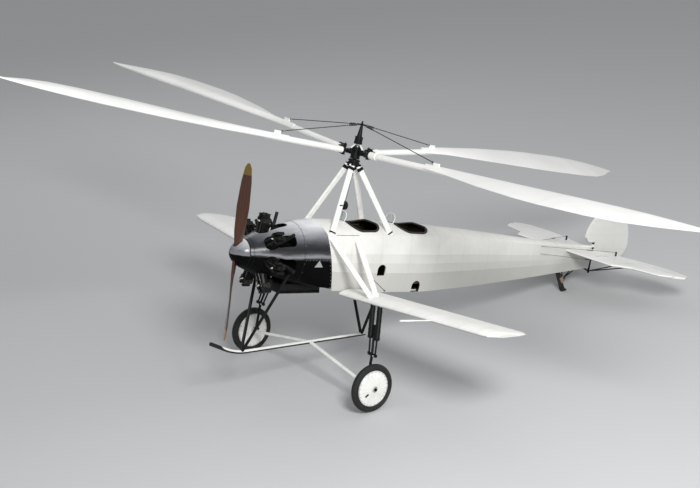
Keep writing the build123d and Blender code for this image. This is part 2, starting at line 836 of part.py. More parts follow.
# Rotor hub: turning body on the spindle with four forks and their flapping pins, the
# neck, ring and drum above
with BuildPart() as rotor_hub:
    with BuildSketch(head_plane(hub_body_bottom)) as body:
        Circle(hub_body_radius)
    extrude(body.sketch, amount=hub_body_top - hub_body_bottom)
    with BuildSketch(head_plane(hub_body_top)) as neck:
        Circle(hub_neck_radius)
    extrude(neck.sketch, amount=hub_neck_top - hub_body_top)
    with BuildSketch(head_plane(hub_neck_top)) as ring:
        Circle(hub_ring_radius)
    extrude(ring.sketch, amount=hub_ring_top - hub_neck_top)
    with BuildSketch(head_plane(hub_ring_top)) as drum:
        Circle(hub_drum_radius)
    extrude(drum.sketch, amount=hub_drum_top - hub_ring_top)
    for index in range(blade_count):
        outward, leading = blade_directions(index)
        fork_plane = Plane(origin=hub_centre, x_dir=outward, z_dir=leading * -1)
        for side in (-1, 1):
            cheek_at = side * (fork_gap / 2 + fork_cheek / 2) - fork_cheek / 2
            with BuildSketch(fork_plane.offset(cheek_at)) as cheek:
                with BuildLine():
                    half = fork_height / 2
                    reach = flap_pin_reach
                    Line((40, -half), (reach - 10, -half * 0.6))
                    ThreePointArc(
                        (reach - 10, -half * 0.6), (reach + 30, 0), (reach - 10, half * 0.6)
                    )
                    Line((reach - 10, half * 0.6), (40, half))
                    Line((40, half), (40, -half))
                make_face()
            extrude(cheek.sketch, amount=fork_cheek)
        pin_length = fork_gap + 2 * fork_cheek + 24
        with BuildSketch(fork_plane.offset(-pin_length / 2)) as pin:
            with Locations((flap_pin_reach, 0)):
                Circle(flap_pin_radius)
        extrude(pin.sketch, amount=pin_length)
        strap_low = hub_centre + outward * 128 + shaft_up * 40
        strap_high = hub_centre + outward * 34 + shaft_up * 116
        add_strut(strap_low, strap_high, 26, 12, chordwise=leading)
    with BuildSketch(head_plane(hub_body_bottom - 5)) as spindle_bore:
        Circle(spindle_radius + running_gap)
    extrude(
        spindle_bore.sketch,
        amount=hub_neck_top - 24 - hub_body_bottom + 5,
        mode=Mode.SUBTRACT,
    )
finish(rotor_hub, "rotor_hub")

# Rotor mast: tapered post over the hub that carries the droop cables, with a fork for each
cable_height = mast_top - 22
cable_fork_reach = 92
cable_radius_on_blade = 1560
cable_post_height = 96
cable_post_chord = 120
cable_post_thickness = 26


# Hoisting eye: a cross hole in the mast tip, above the cables
mast_eye_radius = 6
mast_eye_centre = hub_centre + shaft_up * (mast_top + 8)


def cable_direction(index):
    """Direction of a droop cable, from the mast top to the post on its blade."""
    mast_point = hub_centre + shaft_up * cable_height
    blade_end = blade_point(index, cable_radius_on_blade, cable_post_height - 14)
    return (blade_end - mast_point).normalized()


with BuildPart() as rotor_mast:
    with BuildSketch(Plane(origin=hub_centre, x_dir=disc_aft, z_dir=(0, -1, 0))) as taper:
        with BuildLine():
            Polyline(
                (0, hub_drum_top + seat_gap),
                (mast_base_radius, hub_drum_top + seat_gap),
                (mast_tip_radius, mast_top),
                (mast_tip_radius - 6, mast_top + 24),
                (0, mast_top + 24),
                close=True,
            )
        make_face()
    revolve(taper.sketch, axis=Axis(hub_centre, shaft_up))
    for index in range(blade_count):
        outward, leading = blade_directions(index)
        fork_start = hub_centre + shaft_up * cable_height
        fork_end = fork_start + cable_direction(index) * cable_fork_reach
        add_strut(fork_start, fork_end, 30, 16, chordwise=leading)
    with BuildSketch(Plane(origin=mast_eye_centre, x_dir=(1, 0, 0), z_dir=(0, 1, 0))) as mast_eye:
        Circle(mast_eye_radius)
    extrude(mast_eye.sketch, amount=40, both=True, mode=Mode.SUBTRACT)
finish(rotor_mast, "rotor_mast")

# Rotor blades. Blade stations, as columns: share of the radius, chord, leading edge ahead
# of the spar line as a share of the chord, thickness
blade_stations = (
    (0.225, 96, 0.50, 86),
    (0.298, 200, 0.36, 86),
    (0.430, 520, 0.27, 84),
    (0.563, 720, 0.23, 88),
    (0.635, 775, 0.22, 93),
    (0.760, 775, 0.22, 93),
    (0.830, 700, 0.23, 84),
    (0.893, 520, 0.27, 62),
    (0.943, 320, 0.36, 40),
    (0.976, 150, 0.50, 24),
    (1.000, 50, 0.60, 12),
)
socket_radius = 54
for index in range(blade_count):
    outward, leading = blade_directions(index)
    tongue_plane = Plane(origin=hub_centre, x_dir=outward, z_dir=leading * -1)
    with BuildPart() as rotor_blade:
        tongue = fork_gap - 2 * seat_gap
        with BuildSketch(tongue_plane.offset(-tongue / 2)) as root:
            with BuildLine():
                Polyline(
                    (flap_pin_reach - 34, -26),
                    (drag_pin_reach, -26),
                    (drag_pin_reach + 20, 0),
                    (drag_pin_reach, 32),
                    (flap_pin_reach - 34, 26),
                    close=True,
                )
            make_face()
            with Locations((flap_pin_reach, 0)):
                Circle(flap_pin_radius + seat_gap, mode=Mode.SUBTRACT)
        extrude(root.sketch, amount=tongue)
        with BuildSketch(blade_plane(index, drag_pin_reach - 40)) as knuckle:
            RectangleRounded(96, 84, 20)
        extrude(knuckle.sketch, amount=86)
        spar_inner = blade_point(index, drag_pin_reach + 44)
        spar_outer = blade_point(index, rotor_radius * blade_stations[1][0])
        spar_line = (spar_outer - spar_inner).normalized()
        add_rod(spar_inner, spar_inner + spar_line * 130, socket_radius, chordwise=leading)
        add_rod(spar_inner, spar_outer, spar_radius, chordwise=leading)
        sections = []
        for radius_share, chord, lead_share, thickness in blade_stations:
            station_plane = blade_plane(index, rotor_radius * radius_share)
            lead = chord * lead_share
            sections.append(aerofoil(station_plane, lead, lead - chord, thickness))
        loft(sections, ruled=True)
        post_foot = blade_point(index, cable_radius_on_blade, 10)
        post_top = blade_point(index, cable_radius_on_blade, cable_post_height)
        add_strut(post_foot, post_top, cable_post_chord, cable_post_thickness, chordwise=outward)
    finish(rotor_blade, f"rotor_blade_{index + 1}")

# Droop cables: a taut stay from the mast to the post on each blade
cable_radius = 6
with BuildPart() as droop_cables:
    for index in range(blade_count):
        outward, leading = blade_directions(index)
        line = cable_direction(index)
        mast_end = hub_centre + shaft_up * cable_height + line * cable_fork_reach
        blade_end = blade_point(index, cable_radius_on_blade, cable_post_height - 14)
        add_rod(mast_end, mast_end + line * 150, 13, chordwise=leading)
        add_rod(mast_end + line * 150, blade_end, cable_radius, chordwise=leading)
        post_foot = blade_point(index, cable_radius_on_blade, 10)
        post_top = blade_point(index, cable_radius_on_blade, cable_post_height + 30)
        add_strut(
            post_foot,
            post_top,
            cable_post_chord + 2 * seat_gap,
            cable_post_thickness + 2 * seat_gap,
            chordwise=outward,
            mode=Mode.SUBTRACT,
        )
finish(droop_cables, "droop_cables")

# Wing. Wing stations, as columns: spanwise place, leading edge, trailing edge, thickness
wing_trail_x = wing_lead_x + wing_chord
wing_stations = (
    (wing_root_y, wing_lead_x, wing_trail_x, wing_thickness),
    (wing_tip_y - 200, wing_lead_x, wing_trail_x, wing_thickness),
    (wing_tip_y - 70, wing_lead_x + 18, wing_trail_x - 70, wing_thickness * 0.8),
    (wing_tip_y, wing_lead_x + 150, wing_trail_x - 260, wing_thickness * 0.36),
)
wing_rise = tan(radians(wing_dihedral))


def wing_height(y):
    """Height of the wing's reference line at a distance from the centre."""
    return wing_root_z + (abs(y) - wing_root_y) * wing_rise


def wing_plane(side, y):
    """Upright plane across the wing at y, its x axis forward and its y axis up."""
    return Plane(origin=(0, side * y, wing_height(y)), x_dir=(-1, 0, 0), z_dir=(0, 1, 0))


aileron_eyes = (aileron_y[0] + 120, (aileron_y[0] + aileron_y[1]) / 2, aileron_y[1] - 120)
aileron_tube_radius = 9
aileron_nose = 24



def hinge_line(side):
    """Plane at the inner end of an aileron's slanting hinge line, square to it, and its length."""
    start = Vector(aileron_hinge_x, side * aileron_y[0], wing_height(aileron_y[0]) + 10)
    end = Vector(aileron_hinge_x, side * aileron_y[1], wing_height(aileron_y[1]) + 10)
    along = (end - start).normalized()
    return Plane(origin=start, x_dir=(1, 0, 0), z_dir=along), (end - start).length


# Wings: thick low stub wings with raked tips, each with a bay for its aileron
with BuildPart() as wings:
    for side in (-1, 1):
        sections = []
        for y, lead_x, trail_x, thickness in wing_stations:
            sections.append(aerofoil(wing_plane(side, y), -lead_x, -trail_x, thickness))
        loft(sections, ruled=True)
    for side in (-1, 1):
        hinge_plane, span = hinge_line(side)
        with BuildSketch(hinge_plane.offset(-aileron_gap)) as bay:
            with Locations((300 - aileron_nose - aileron_gap, 0)):
                Rectangle(600, 400)
        extrude(bay.sketch, amount=span + 2 * aileron_gap, mode=Mode.SUBTRACT)
        for eye_at in aileron_eyes:
            eye_plane = hinge_plane.offset(eye_at - aileron_y[0] - 5)
            with BuildSketch(eye_plane) as eye:
                Circle(aileron_nose - 8)
                with Locations((-30, 0)):
                    Rectangle(60, 22)
                Circle(aileron_tube_radius + running_gap, mode=Mode.SUBTRACT)
            extrude(eye.sketch, amount=10)
finish(wings, "wings")

# Ailerons: each hangs on a tube through three eyes in its bay
for side, side_name in ((-1, "port"), (1, "starboard")):
    hinge_plane, span = hinge_line(side)
    up_sign = hinge_plane.y_dir.Z / abs(hinge_plane.y_dir.Z)
    with BuildPart() as aileron:
        tail = wing_trail_x - aileron_hinge_x
        low_edge = -10 * up_sign
        with BuildSketch(hinge_plane) as wedge:
            with BuildLine():
                Line((0, aileron_nose), (tail, low_edge + 2))
                Line((tail, low_edge + 2), (tail, low_edge - 2))
                Line((tail, low_edge - 2), (0, -aileron_nose))
                ThreePointArc((0, -aileron_nose), (-aileron_nose, 0), (0, aileron_nose))
            make_face()
        extrude(wedge.sketch, amount=span)
        for eye_at in aileron_eyes:
            with BuildSketch(hinge_plane.offset(eye_at - aileron_y[0] - 12)) as slot:
                with Locations((-20, 0)):
                    Rectangle(84, 100)
            extrude(slot.sketch, amount=24, mode=Mode.SUBTRACT)
        with BuildSketch(hinge_plane) as tube:
            Circle(aileron_tube_radius)
        extrude(tube.sketch, amount=span)
    finish(aileron, f"aileron_{side_name}")

# Wing bracing: a pair of streamlined struts each side from the shoulder to the front spar
strut_foot_y = 1000
with BuildPart() as wing_struts:
    foot_z = wing_height(strut_foot_y) + 0.62 * wing_thickness
    for side in (-1, 1):
        for top_x, foot_x in ((1458, 1795), (1919, 1890)):
            top = (top_x, side * 355, 292)
            add_strut(top, (foot_x, side * strut_foot_y, foot_z - 20), 98, 36)
    seat_on(body_form, wings)
finish(wing_struts, "wing_struts")

# Skid: one long tube under the middle with its front end turned up
skid_front = (-101, 0, -1290)
skid_bend = (330, 0, -1440)
skid_rear = (2640, 0, -1236)
with BuildPart() as nose_skid:
    with BuildLine() as skid_route:
        FilletPolyline(skid_front, skid_bend, skid_rear, radius=900)
    with BuildSketch(plane_along(skid_front, skid_bend, (0, 1, 0))) as skid_tube:
        Circle(skid_radius)
    sweep(skid_tube.sketch, path=skid_route.line)
finish(nose_skid, "nose_skid")


def skid_height(x):
    """Height of the skid's centre line at x, aft of its bend."""
    slope = (skid_rear[2] - skid_bend[2]) / (skid_rear[0] - skid_bend[0])
    return skid_bend[2] + (x - skid_bend[0]) * slope


# Half axles: from the skid out to each wheel, with the stub that carries the hub
with BuildPart() as half_axles:
    for side in (-1, 1):
        inner_end = (1640, side * 12, skid_height(1640) - 4)
        stub_inner = Vector(wheel_x, side * (wheel_half_track - 112), wheel_z)
        stub_outer = Vector(wheel_x, side * (wheel_half_track + 74), wheel_z)
        collar_inner = Vector(wheel_x, side * (wheel_half_track - 142), wheel_z)
        collar_outer = Vector(wheel_x, side * (wheel_half_track - 84), wheel_z)
        add_strut(inner_end, stub_inner, 62, 40)
        add_rod(collar_inner, stub_outer, axle_radius)
        add_rod(collar_inner, collar_outer, axle_radius + 12)
    seat_on(nose_skid)
finish(half_axles, "half_axles")

# Undercarriage legs: two long-travel casings side by side each side under the front spar,
# their rods down into a cross bracket, and one tube from it to the axle
with BuildPart() as oleo_legs:
    for side in (-1, 1):
        leg_top_z = wing_height(oleo_top_y) - 0.36 * wing_thickness + 30
        leg_top = Vector(oleo_top_x, side * oleo_top_y, leg_top_z)
        leg_foot = Vector(wheel_x, side * (wheel_half_track - 112), wheel_z)
        bracket = Vector(oleo_bracket[0], side * oleo_bracket[1], oleo_bracket[2])
        casing_end = point_between(leg_top, bracket, 0.68)
        for offset in (-0.5, 0.5):
            apart = Vector(0, offset * oleo_spacing, 0)
            add_rod(leg_top + apart, casing_end + apart, 37)
            add_rod(casing_end + apart, bracket + apart * 0.86, 13)
            ear = bracket + apart * 0.86
            add_rod(ear + Vector(-30, 0, 0), ear + Vector(30, 0, 0), 15, (0, 0, 1))
        add_strut(
            point_between(leg_top, bracket, 0.4), point_between(leg_top, bracket, 0.66), 150, 14, (0, 1, 0)
        )
        add_rod(point_between(leg_top, bracket, 0.62), bracket, 17)
        bar_half = Vector(0, oleo_spacing / 2 + 14, 0)
        add_strut(bracket - bar_half, bracket + bar_half, 46, 40, chordwise=(0, 0, 1))
        add_rod(bracket, leg_foot, 20)
        add_rod(leg_foot + Vector(-44, 0, 42), leg_foot + Vector(44, 0, 42), 22, (0, 0, 1))
    seat_on(wings, half_axles)
finish(oleo_legs, "oleo_legs")

# Wheels and tyres
for side, side_name in ((-1, "port"), (1, "starboard")):
    # Wheel: two spun covers over the spokes, rim and hub as one piece, and the tyre round it
    wheel_plane = Plane(
        origin=(wheel_x, side * wheel_half_track, wheel_z), x_dir=(1, 0, 0), z_dir=(0, 0, 1)
    )
    wheel_axis = Axis((wheel_x, side * wheel_half_track, wheel_z), (0, 1, 0))
    with BuildPart() as wheel:
        with BuildSketch(wheel_plane) as cover:
            with BuildLine():
                Polyline(
                    (axle_radius + running_gap, -78),
                    (46, -78),
                    (46, -66),
                    (rim_radius - 14, -34),
                    (rim_radius, -34),
                    (rim_radius, 34),
                    (rim_radius - 14, 34),
                    (46, 66),
                    (46, 78),
                    (axle_radius + running_gap, 78),
                    close=True,
                )
            make_face()
        revolve(cover.sketch, axis=wheel_axis)
    finish(wheel, f"wheel_{side_name}")

    with BuildPart() as tyre:
        with BuildSketch(wheel_plane) as ring:
            with BuildLine():
                shoulder = wheel_radius - tyre_radius
                Line((rim_radius, -30), (rim_radius, 30))
                Line((rim_radius, 30), (shoulder, tyre_radius))
                ThreePointArc((shoulder, tyre_radius), (wheel_radius, 0), (shoulder, -tyre_radius))
                Line((shoulder, -tyre_radius), (rim_radius, -30))
            make_face()
        revolve(ring.sketch, axis=wheel_axis)
    finish(tyre, f"tyre_{side_name}")

# Skid struts: a V of streamlined tubes in front and one behind
with BuildPart() as skid_struts:
    for foot_x, top_x, top_y, top_z in ((444, 790, 366, -215), (2574, 2495, 338, -470)):
        for side in (-1, 1):
            foot = (foot_x, side * 10, skid_height(foot_x) + 12)
            add_strut(foot, (top_x, side * top_y, top_z), 48, 30)
    seat_on(nose_skid, belly_form, cowl_form)
finish(skid_struts, "skid_struts")

# Pitot head: a slim tube ahead of the port wing on a short post
pitot_y = 2360
with BuildPart() as pitot_tube:
    pitot_z = wing_height(pitot_y)
    pitot_tip = (wing_lead_x - 540, -pitot_y, pitot_z + 10)
    add_rod((wing_lead_x + 30, -pitot_y, pitot_z), pitot_tip, 9, (0, 0, 1))
    add_rod((wing_lead_x - 300, -pitot_y, pitot_z + 6), pitot_tip, 13, (0, 0, 1))
    seat_on(wings)
finish(pitot_tube, "pitot_tube")

# Tailplane. Stations, as columns: spanwise place, leading edge, elevator trailing edge
tail_stations = (
    (0, 6560, 7550),
    (1050, 6560, 7550),
    (1260, 6830, 7590),
    (1710, 6950, 7570),
    (1835, 7120, 7480),
)
elevator_root_y = 74
elevator_trail_x = 7604


def tail_face(side, station, thickness):
    """Section of the fixed tailplane, blunt where the elevator hinges."""
    y, lead_x, trail_x = station
    rear = tail_hinge_x - tail_tube_radius - 9
    depth = min(0.6 * (rear - lead_x), 0.3 * (trail_x - lead_x))
    nose = 0.3 * thickness
    with BuildSketch(Plane(origin=(0, side * y, tail_z), x_dir=(1, 0, 0), z_dir=(0, -1, 0))) as section:
        with BuildLine():
            half = thickness / 2
            ThreePointArc((lead_x + nose * 0.7, -nose), (lead_x, 0), (lead_x + nose * 0.7, nose))
            Line((lead_x + nose * 0.7, nose), (lead_x + depth, half))
            Line((lead_x + depth, half), (rear, half * 0.72))
            Line((rear, half * 0.72), (rear, -half * 0.72))
            Line((rear, -half * 0.72), (lead_x + depth, -half))
            Line((lead_x + depth, -half), (lead_x + nose * 0.7, -nose))
        make_face()
    return section.sketch


elevator_eyes = (330, 1040, 1640)
with BuildPart() as tailplane:
    for side in (-1, 1):
        loft(
            [tail_face(side, station, tail_thickness - 12 * number / 4)
             for number, station in enumerate(tail_stations)],
            ruled=True,
        )
    for side in (-1, 1):
        for eye_y in elevator_eyes:
            eye_plane = Plane(origin=(0, side * eye_y + 5, tail_z), x_dir=(1, 0, 0), z_dir=(0, -1, 0))
            with BuildSketch(eye_plane) as eye:
                with Locations((tail_hinge_x, 0)):
                    Circle(tail_tube_radius + 7)
                    with Locations((-22, 0)):
                        Rectangle(44, 20)
                    Circle(tail_tube_radius + running_gap, mode=Mode.SUBTRACT)
            extrude(eye.sketch, amount=10)
    with BuildPart(mode=Mode.PRIVATE) as stern:
        loft([whole_face(station) for station in rear_stations], ruled=True)
    add(stern.part, mode=Mode.SUBTRACT)
finish(tailplane, "tailplane")

# Elevators: two halves, each on its end of the torque tube, cut away round the rudder
with BuildPart() as elevators:
    for side in (-1, 1):
        with BuildSketch(Plane.XY.offset(tail_z)) as planform:
            with BuildLine():
                front = tail_hinge_x
                Polyline(
                    (front, side * elevator_root_y),
                    (front + 60, side * elevator_root_y),
                    (7385, side * 560),
                    (7460, side * 810),
                    (7530, side * 1020),
                    (7600, side * 1340),
                    (7567, side * 1735),
                    (7470, side * 1870),
                    (7350, side * 1920),
                    (front, side * 1835),
                    close=True,
                )
            make_face()
        extrude(planform.sketch, amount=40, both=True)
    with BuildSketch(Plane.XZ.offset(-2000)) as wedge:
        with BuildLine():
            nose = tail_tube_radius + 3
            Line((tail_hinge_x, tail_z + nose), (elevator_trail_x, tail_z + 3))
            Line((elevator_trail_x, tail_z + 3), (elevator_trail_x, tail_z - 3))
            Line((elevator_trail_x, tail_z - 3), (tail_hinge_x, tail_z - nose))
            ThreePointArc(
                (tail_hinge_x, tail_z - nose), (tail_hinge_x - nose, tail_z), (tail_hinge_x, tail_z + nose)
            )
        make_face()
    extrude(wedge.sketch, amount=4000, mode=Mode.INTERSECT)
    for side in (-1, 1):
        for eye_y in elevator_eyes:
            with Locations(Location((tail_hinge_x - 4, side * eye_y, tail_z))):
                Box(64, 24, 90, mode=Mode.SUBTRACT)
    for side in (-1, 1):
        tube_end = Plane(
            origin=(tail_hinge_x, side * elevator_root_y, tail_z), x_dir=(1, 0, 0), z_dir=(0, side, 0)
        )
        with BuildSketch(tube_end) as torque_tube:
            Circle(tail_tube_radius)
        extrude(torque_tube.sketch, amount=1820 - elevator_root_y)
    for side in (-1, 1):
        with Locations(Location((tail_hinge_x + 20, side * 560, tail_z))):
            Box(34, 8, 190)
finish(elevators, "elevators")

# Middle of the torque tube: through the stern in front of the rudder, butted on both halves
with BuildPart() as elevator_tube:
    with Locations(Location((tail_hinge_x, 0, tail_z), (90, 0, 0))):
        Cylinder(tail_tube_radius, 2 * elevator_root_y)
finish(elevator_tube, "elevator_tube")

# Stern post: steel tube behind the fuselage on which the rudder turns
with BuildPart() as stern_post:
    add_rod(
        (rudder_post_x, 0, rudder_post_bottom), (rudder_post_x, 0, rudder_post_top), rudder_post_radius
    )
    for bracket_z in (-240, 0):
        with Locations(Location((fuselage_rear_x, 0, bracket_z))):
            Box(rudder_post_x - fuselage_rear_x, 30, 40, align=(Align.MIN, Align.CENTER, Align.CENTER))
    with Locations(Location((rudder_post_x, 0, rudder_post_bottom))):
        Cylinder(
            stern_socket_radius,
            stern_socket_depth,
            align=(Align.CENTER, Align.CENTER, Align.MIN),
            mode=Mode.SUBTRACT,
        )
finish(stern_post, "stern_post")

# Tail struts: a V of tubes each side from the foot of the stern post up to the tailplane
with BuildPart() as tail_struts:
    for side in (-1, 1):
        for top_x, top_y in ((6800, 1000), (7120, 1120)):
            post_foot = (rudder_post_x - 6, side * 15, rudder_post_bottom + 34)
            add_strut(post_foot, (top_x, side * top_y, tail_z - 10), 34, 18)
    seat_on(tailplane, stern_post)
finish(tail_struts, "tail_struts")

# Rudder: balanced oval whose nose overhangs the turtledeck, on two collars round the post
with BuildPart() as rudder:
    with BuildSketch(Plane.XZ.offset(-rudder_thickness / 2)) as outline:
        with BuildLine():
            front = rudder_post_x + rudder_post_radius + 8
            Line((front, -95), (7760, -95))
            ThreePointArc((7760, -95), (8000, -30), (8070, 214))
            ThreePointArc((8070, 214), (7924, 568), (7570, 720))
            ThreePointArc((7570, 720), (7216, 568), (7070, 300))
            ThreePointArc((7070, 300), (7090, 200), (7170, 172))
            Line((7170, 172), (front, 172))
            Line((front, 172), (front, -95))
        make_face()
    extrude(outline.sketch, amount=rudder_thickness)
    for edge_z in (-62, 108):
        with Locations(Location((rudder_post_x, 0, edge_z))):
            Cylinder(rudder_post_radius + 9, 44)
            Box(40, 30, 44, align=(Align.MIN, Align.CENTER, Align.CENTER))
            Cylinder(rudder_post_radius + running_gap, 60, mode=Mode.SUBTRACT)
finish(rudder, "rudder")

# Tail skid: a sprung bar on a pyramid of tubes under the stern
skid_pivot = (6690, 0, -440)
with BuildPart() as tail_skid_frame:
    for top_x, top_y, top_z in ((6560, 50, -300), (6560, -50, -300), (6900, 34, -270), (6900, -34, -270)):
        add_rod(skid_pivot, (top_x, top_y, top_z), 9)
    add_rod((6690, -30, -440), (6690, 30, -440), 16, (0, 0, 1))
    seat_on(fuselage_rear)
finish(tail_skid_frame, "tail_skid_frame")

with BuildPart() as tail_skid:
    with BuildSketch(Plane.XZ.offset(-28)) as bar:
        with BuildLine():
            Polyline(
                (6502, -330),
                (6540, -330),
                (6740, -598),
                (tail_skid_foot[0] + 14, tail_skid_foot[2] + 22),
                (tail_skid_foot[0], tail_skid_foot[2]),
                (tail_skid_foot[0] - 84 * cos(radians(tail_down)),
                 tail_skid_foot[2] - 84 * sin(radians(tail_down))),
                close=True,
            )
        make_face()
    extrude(bar.sketch, amount=56)
    seat_on(fuselage_rear, tail_skid_frame)
finish(tail_skid, "tail_skid")

# Stance: the machine is turned tail down until wheels and tail skid stand on one level,
# and moved so that the origin is on the ground, in the middle of its length and width
turned = Location((0, 0, 0), (0, tail_down, 0))
whole = Compound(children=[piece.part.moved(turned) for piece in finished])
box = whole.bounding_box()
ground = wheel_z * cos(radians(tail_down)) - wheel_x * sin(radians(tail_down)) - wheel_radius
stance = Location((-(box.min.X + box.max.X) / 2, 0, -ground)) * turned

for piece in finished:
    name = piece.part.label
    piece.part.move(stance)
    export_step(piece.part, f"parts/{name}.step")
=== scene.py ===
import bpy
from math import asin, atan2, cos, hypot, pi, radians, sin
from mathutils import Matrix, Vector


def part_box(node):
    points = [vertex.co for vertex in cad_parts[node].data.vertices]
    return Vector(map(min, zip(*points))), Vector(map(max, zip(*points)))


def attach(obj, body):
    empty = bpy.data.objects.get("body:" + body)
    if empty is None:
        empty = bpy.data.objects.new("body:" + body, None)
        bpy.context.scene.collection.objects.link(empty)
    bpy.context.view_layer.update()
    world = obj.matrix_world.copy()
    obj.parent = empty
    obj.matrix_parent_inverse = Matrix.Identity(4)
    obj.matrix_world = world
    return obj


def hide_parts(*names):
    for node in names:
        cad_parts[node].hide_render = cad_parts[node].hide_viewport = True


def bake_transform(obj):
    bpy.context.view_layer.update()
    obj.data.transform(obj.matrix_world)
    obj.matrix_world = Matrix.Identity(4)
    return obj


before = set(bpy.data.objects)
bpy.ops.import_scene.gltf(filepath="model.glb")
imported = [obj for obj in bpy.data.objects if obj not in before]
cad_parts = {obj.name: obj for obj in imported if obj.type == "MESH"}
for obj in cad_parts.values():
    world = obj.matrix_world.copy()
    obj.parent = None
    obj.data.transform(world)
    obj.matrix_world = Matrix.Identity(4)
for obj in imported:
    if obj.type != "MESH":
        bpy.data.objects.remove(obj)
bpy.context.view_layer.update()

bpy.ops.object.select_all(action="DESELECT")

# The drawing office's axes: X aft from the spinner tip, Y to starboard, Z up from the thrust
# line, in metres. The machine is set down from them by one turn, on its wheels and tail skid.
aft, starboard, up = Vector((1, 0, 0)), Vector((0, 1, 0)), Vector((0, 0, 1))
wheel_place = Vector((1.656, 1.460, -1.559))
skid_foot = Vector((6.780, 0, -0.640))
wheel_radius = 0.345
run, rise = skid_foot.x - wheel_place.x, skid_foot.z - wheel_place.z
tail_down = atan2(rise, run) + asin(wheel_radius / hypot(run, rise))
tyre_low, tyre_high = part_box("tyre_port")
wheel_stands = Vector(((tyre_low.x + tyre_high.x) / 2, 0, (tyre_low.z + tyre_high.z) / 2))
stance_turn = Matrix.Rotation(tail_down, 4, "Y")
wheel_drawn = Vector((wheel_place.x, 0, wheel_place.z))
stance = Matrix.Translation(wheel_stands) @ stance_turn @ Matrix.Translation(-wheel_drawn)
from_stance = stance.inverted()

# The studio: a plain pale floor that runs out past the picture, and the camera where the
# photographer's was against the machine, a long lens on a small plate, a little above it.
bpy.ops.mesh.primitive_plane_add(size=240, location=(0, 0, 0))
floor = bpy.context.object
floor.name = "studio_floor"


def linear(hex_colour):
    """An sRGB hex colour as the linear colour that a node takes."""
    parts = [int(hex_colour[i : i + 2], 16) / 255 for i in (1, 3, 5)]
    parts = [c / 12.92 if c <= 0.04045 else ((c + 0.055) / 1.055) ** 2.4 for c in parts]
    return (*parts, 1.0)


def feed(socket, value):
    """Gives a socket a value, a hex colour or another node's output."""
    if isinstance(value, bpy.types.NodeSocket):
        socket.id_data.links.new(value, socket)
    else:
        socket.default_value = linear(value) if isinstance(value, str) else value


def fresh(name):
    """A new material that is drawn with nodes."""
    material = bpy.data.materials.new(name)
    material.use_nodes = True
    return material


def shade(material, inputs):
    """Feeds the inputs of a material's shader."""
    for name, value in inputs.items():
        feed(material.node_tree.nodes["Principled BSDF"].inputs[name], value)


floor_paper = fresh("matt_paper_floor")
shade(floor_paper, {"Base Color": "#CBCCCD", "Roughness": 0.9})
floor.data.materials.append(floor_paper)

camera_place = Vector((-12.6358409, -17.5658862, 4.3891365))
camera_right = Vector((0.7751075, -0.6136214, 0.1505894))
camera_up = Vector((-0.0013162, 0.2367700, 0.9715648))
camera_back = Vector((-0.6318280, -0.7532654, 0.1827146))
plate_width = 36.0
focal_share = 1613.88 / 700
bpy.ops.object.camera_add()
camera = bpy.context.object
camera.name = "plate_camera"
turn = Matrix((camera_right, camera_up, camera_back)).transposed().to_4x4()
camera.matrix_world = stance @ Matrix.Translation(camera_place) @ turn
camera.data.sensor_width = plate_width
camera.data.lens = plate_width * focal_share
camera.data.clip_start = 1.0
camera.data.clip_end = 400
bpy.context.scene.camera = camera

# The studio's lamps: one large soft one high on the camera's left for the sun, a wide weak one
# opposite, and an even pale world, at a level where a colour shows about as it is written.
for lamp_name, lamp_place, lamp_size, lamp_power in (
    ("sun_softbox", (-6.0, -14.0, 12.0), 5.0, 2450),
    ("fill_softbox", (12.0, -9.0, 9.0), 10.0, 300),
    ("back_softbox", (4.0, 14.0, 12.0), 10.0, 300),
):
    bpy.ops.object.light_add(type="AREA", location=lamp_place)
    lamp = bpy.context.object
    lamp.name = lamp_name
    lamp.data.shape = "DISK"
    lamp.data.size = lamp_size
    lamp.data.energy = lamp_power
    lamp.rotation_euler = Vector(lamp_place).to_track_quat("Z", "Y").to_euler()
world = bpy.data.worlds.new("even_pale_sky")
bpy.context.scene.world = world
world.use_nodes = True
feed(world.node_tree.nodes["Background"].inputs["Color"], "#E4E6E8")
feed(world.node_tree.nodes["Background"].inputs["Strength"], 0.50)
bpy.context.scene.view_settings.view_transform = "Standard"

# Fuselage, wing and tail covers: linen sewn over the frames, pulled tight by coats of dope and
# finished in white. The threads are 0.5 mm apart, drawn here at 4 mm so that they show.


def dress(names, material):
    """Puts a material on CAD nodes."""
    for name in names:
        for material_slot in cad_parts[name].material_slots:
            material_slot.material = material


def add_node(material, kind, settings=(), inputs=()):
    """Adds a node with its settings, and its inputs as values, hex colours or outputs."""
    node = material.node_tree.nodes.new(kind)
    for name, value in dict(settings).items():
        setattr(node, name, value)
    for name, value in dict(inputs).items():
        feed(node.inputs[name], value)
    return node


def drawn_places(material, scale=(1, 1, 1)):
    """Places on the drawing's axes, in metres, for a material's pattern."""
    level = add_node(material, "ShaderNodeMapping", {"vector_type": "POINT"}, {
        "Vector": add_node(material, "ShaderNodeTexCoord").outputs["Object"],
        "Rotation": (0, -tail_down, 0),
        "Location": wheel_drawn - stance_turn.inverted() @ wheel_stands,
    })
    if scale == (1, 1, 1):
        return level.outputs[0]
    inputs = {"Vector": level.outputs[0], "Scale": scale}
    return add_node(material, "ShaderNodeMapping", (), inputs).outputs[0]


def dot(material, vector, way):
    """How far a vector reaches along a direction."""
    settings, inputs = {"operation": "DOT_PRODUCT"}, {0: vector, 1: way}
    return add_node(material, "ShaderNodeVectorMath", settings, inputs).outputs["Value"]


def split(material, vector):
    """The X, Y and Z of a vector."""
    return add_node(material, "ShaderNodeSeparateXYZ", (), {"Vector": vector}).outputs


def normal_up(material):
    """How far a surface faces up."""
    return split(material, add_node(material, "ShaderNodeNewGeometry").outputs["Normal"])["Z"]


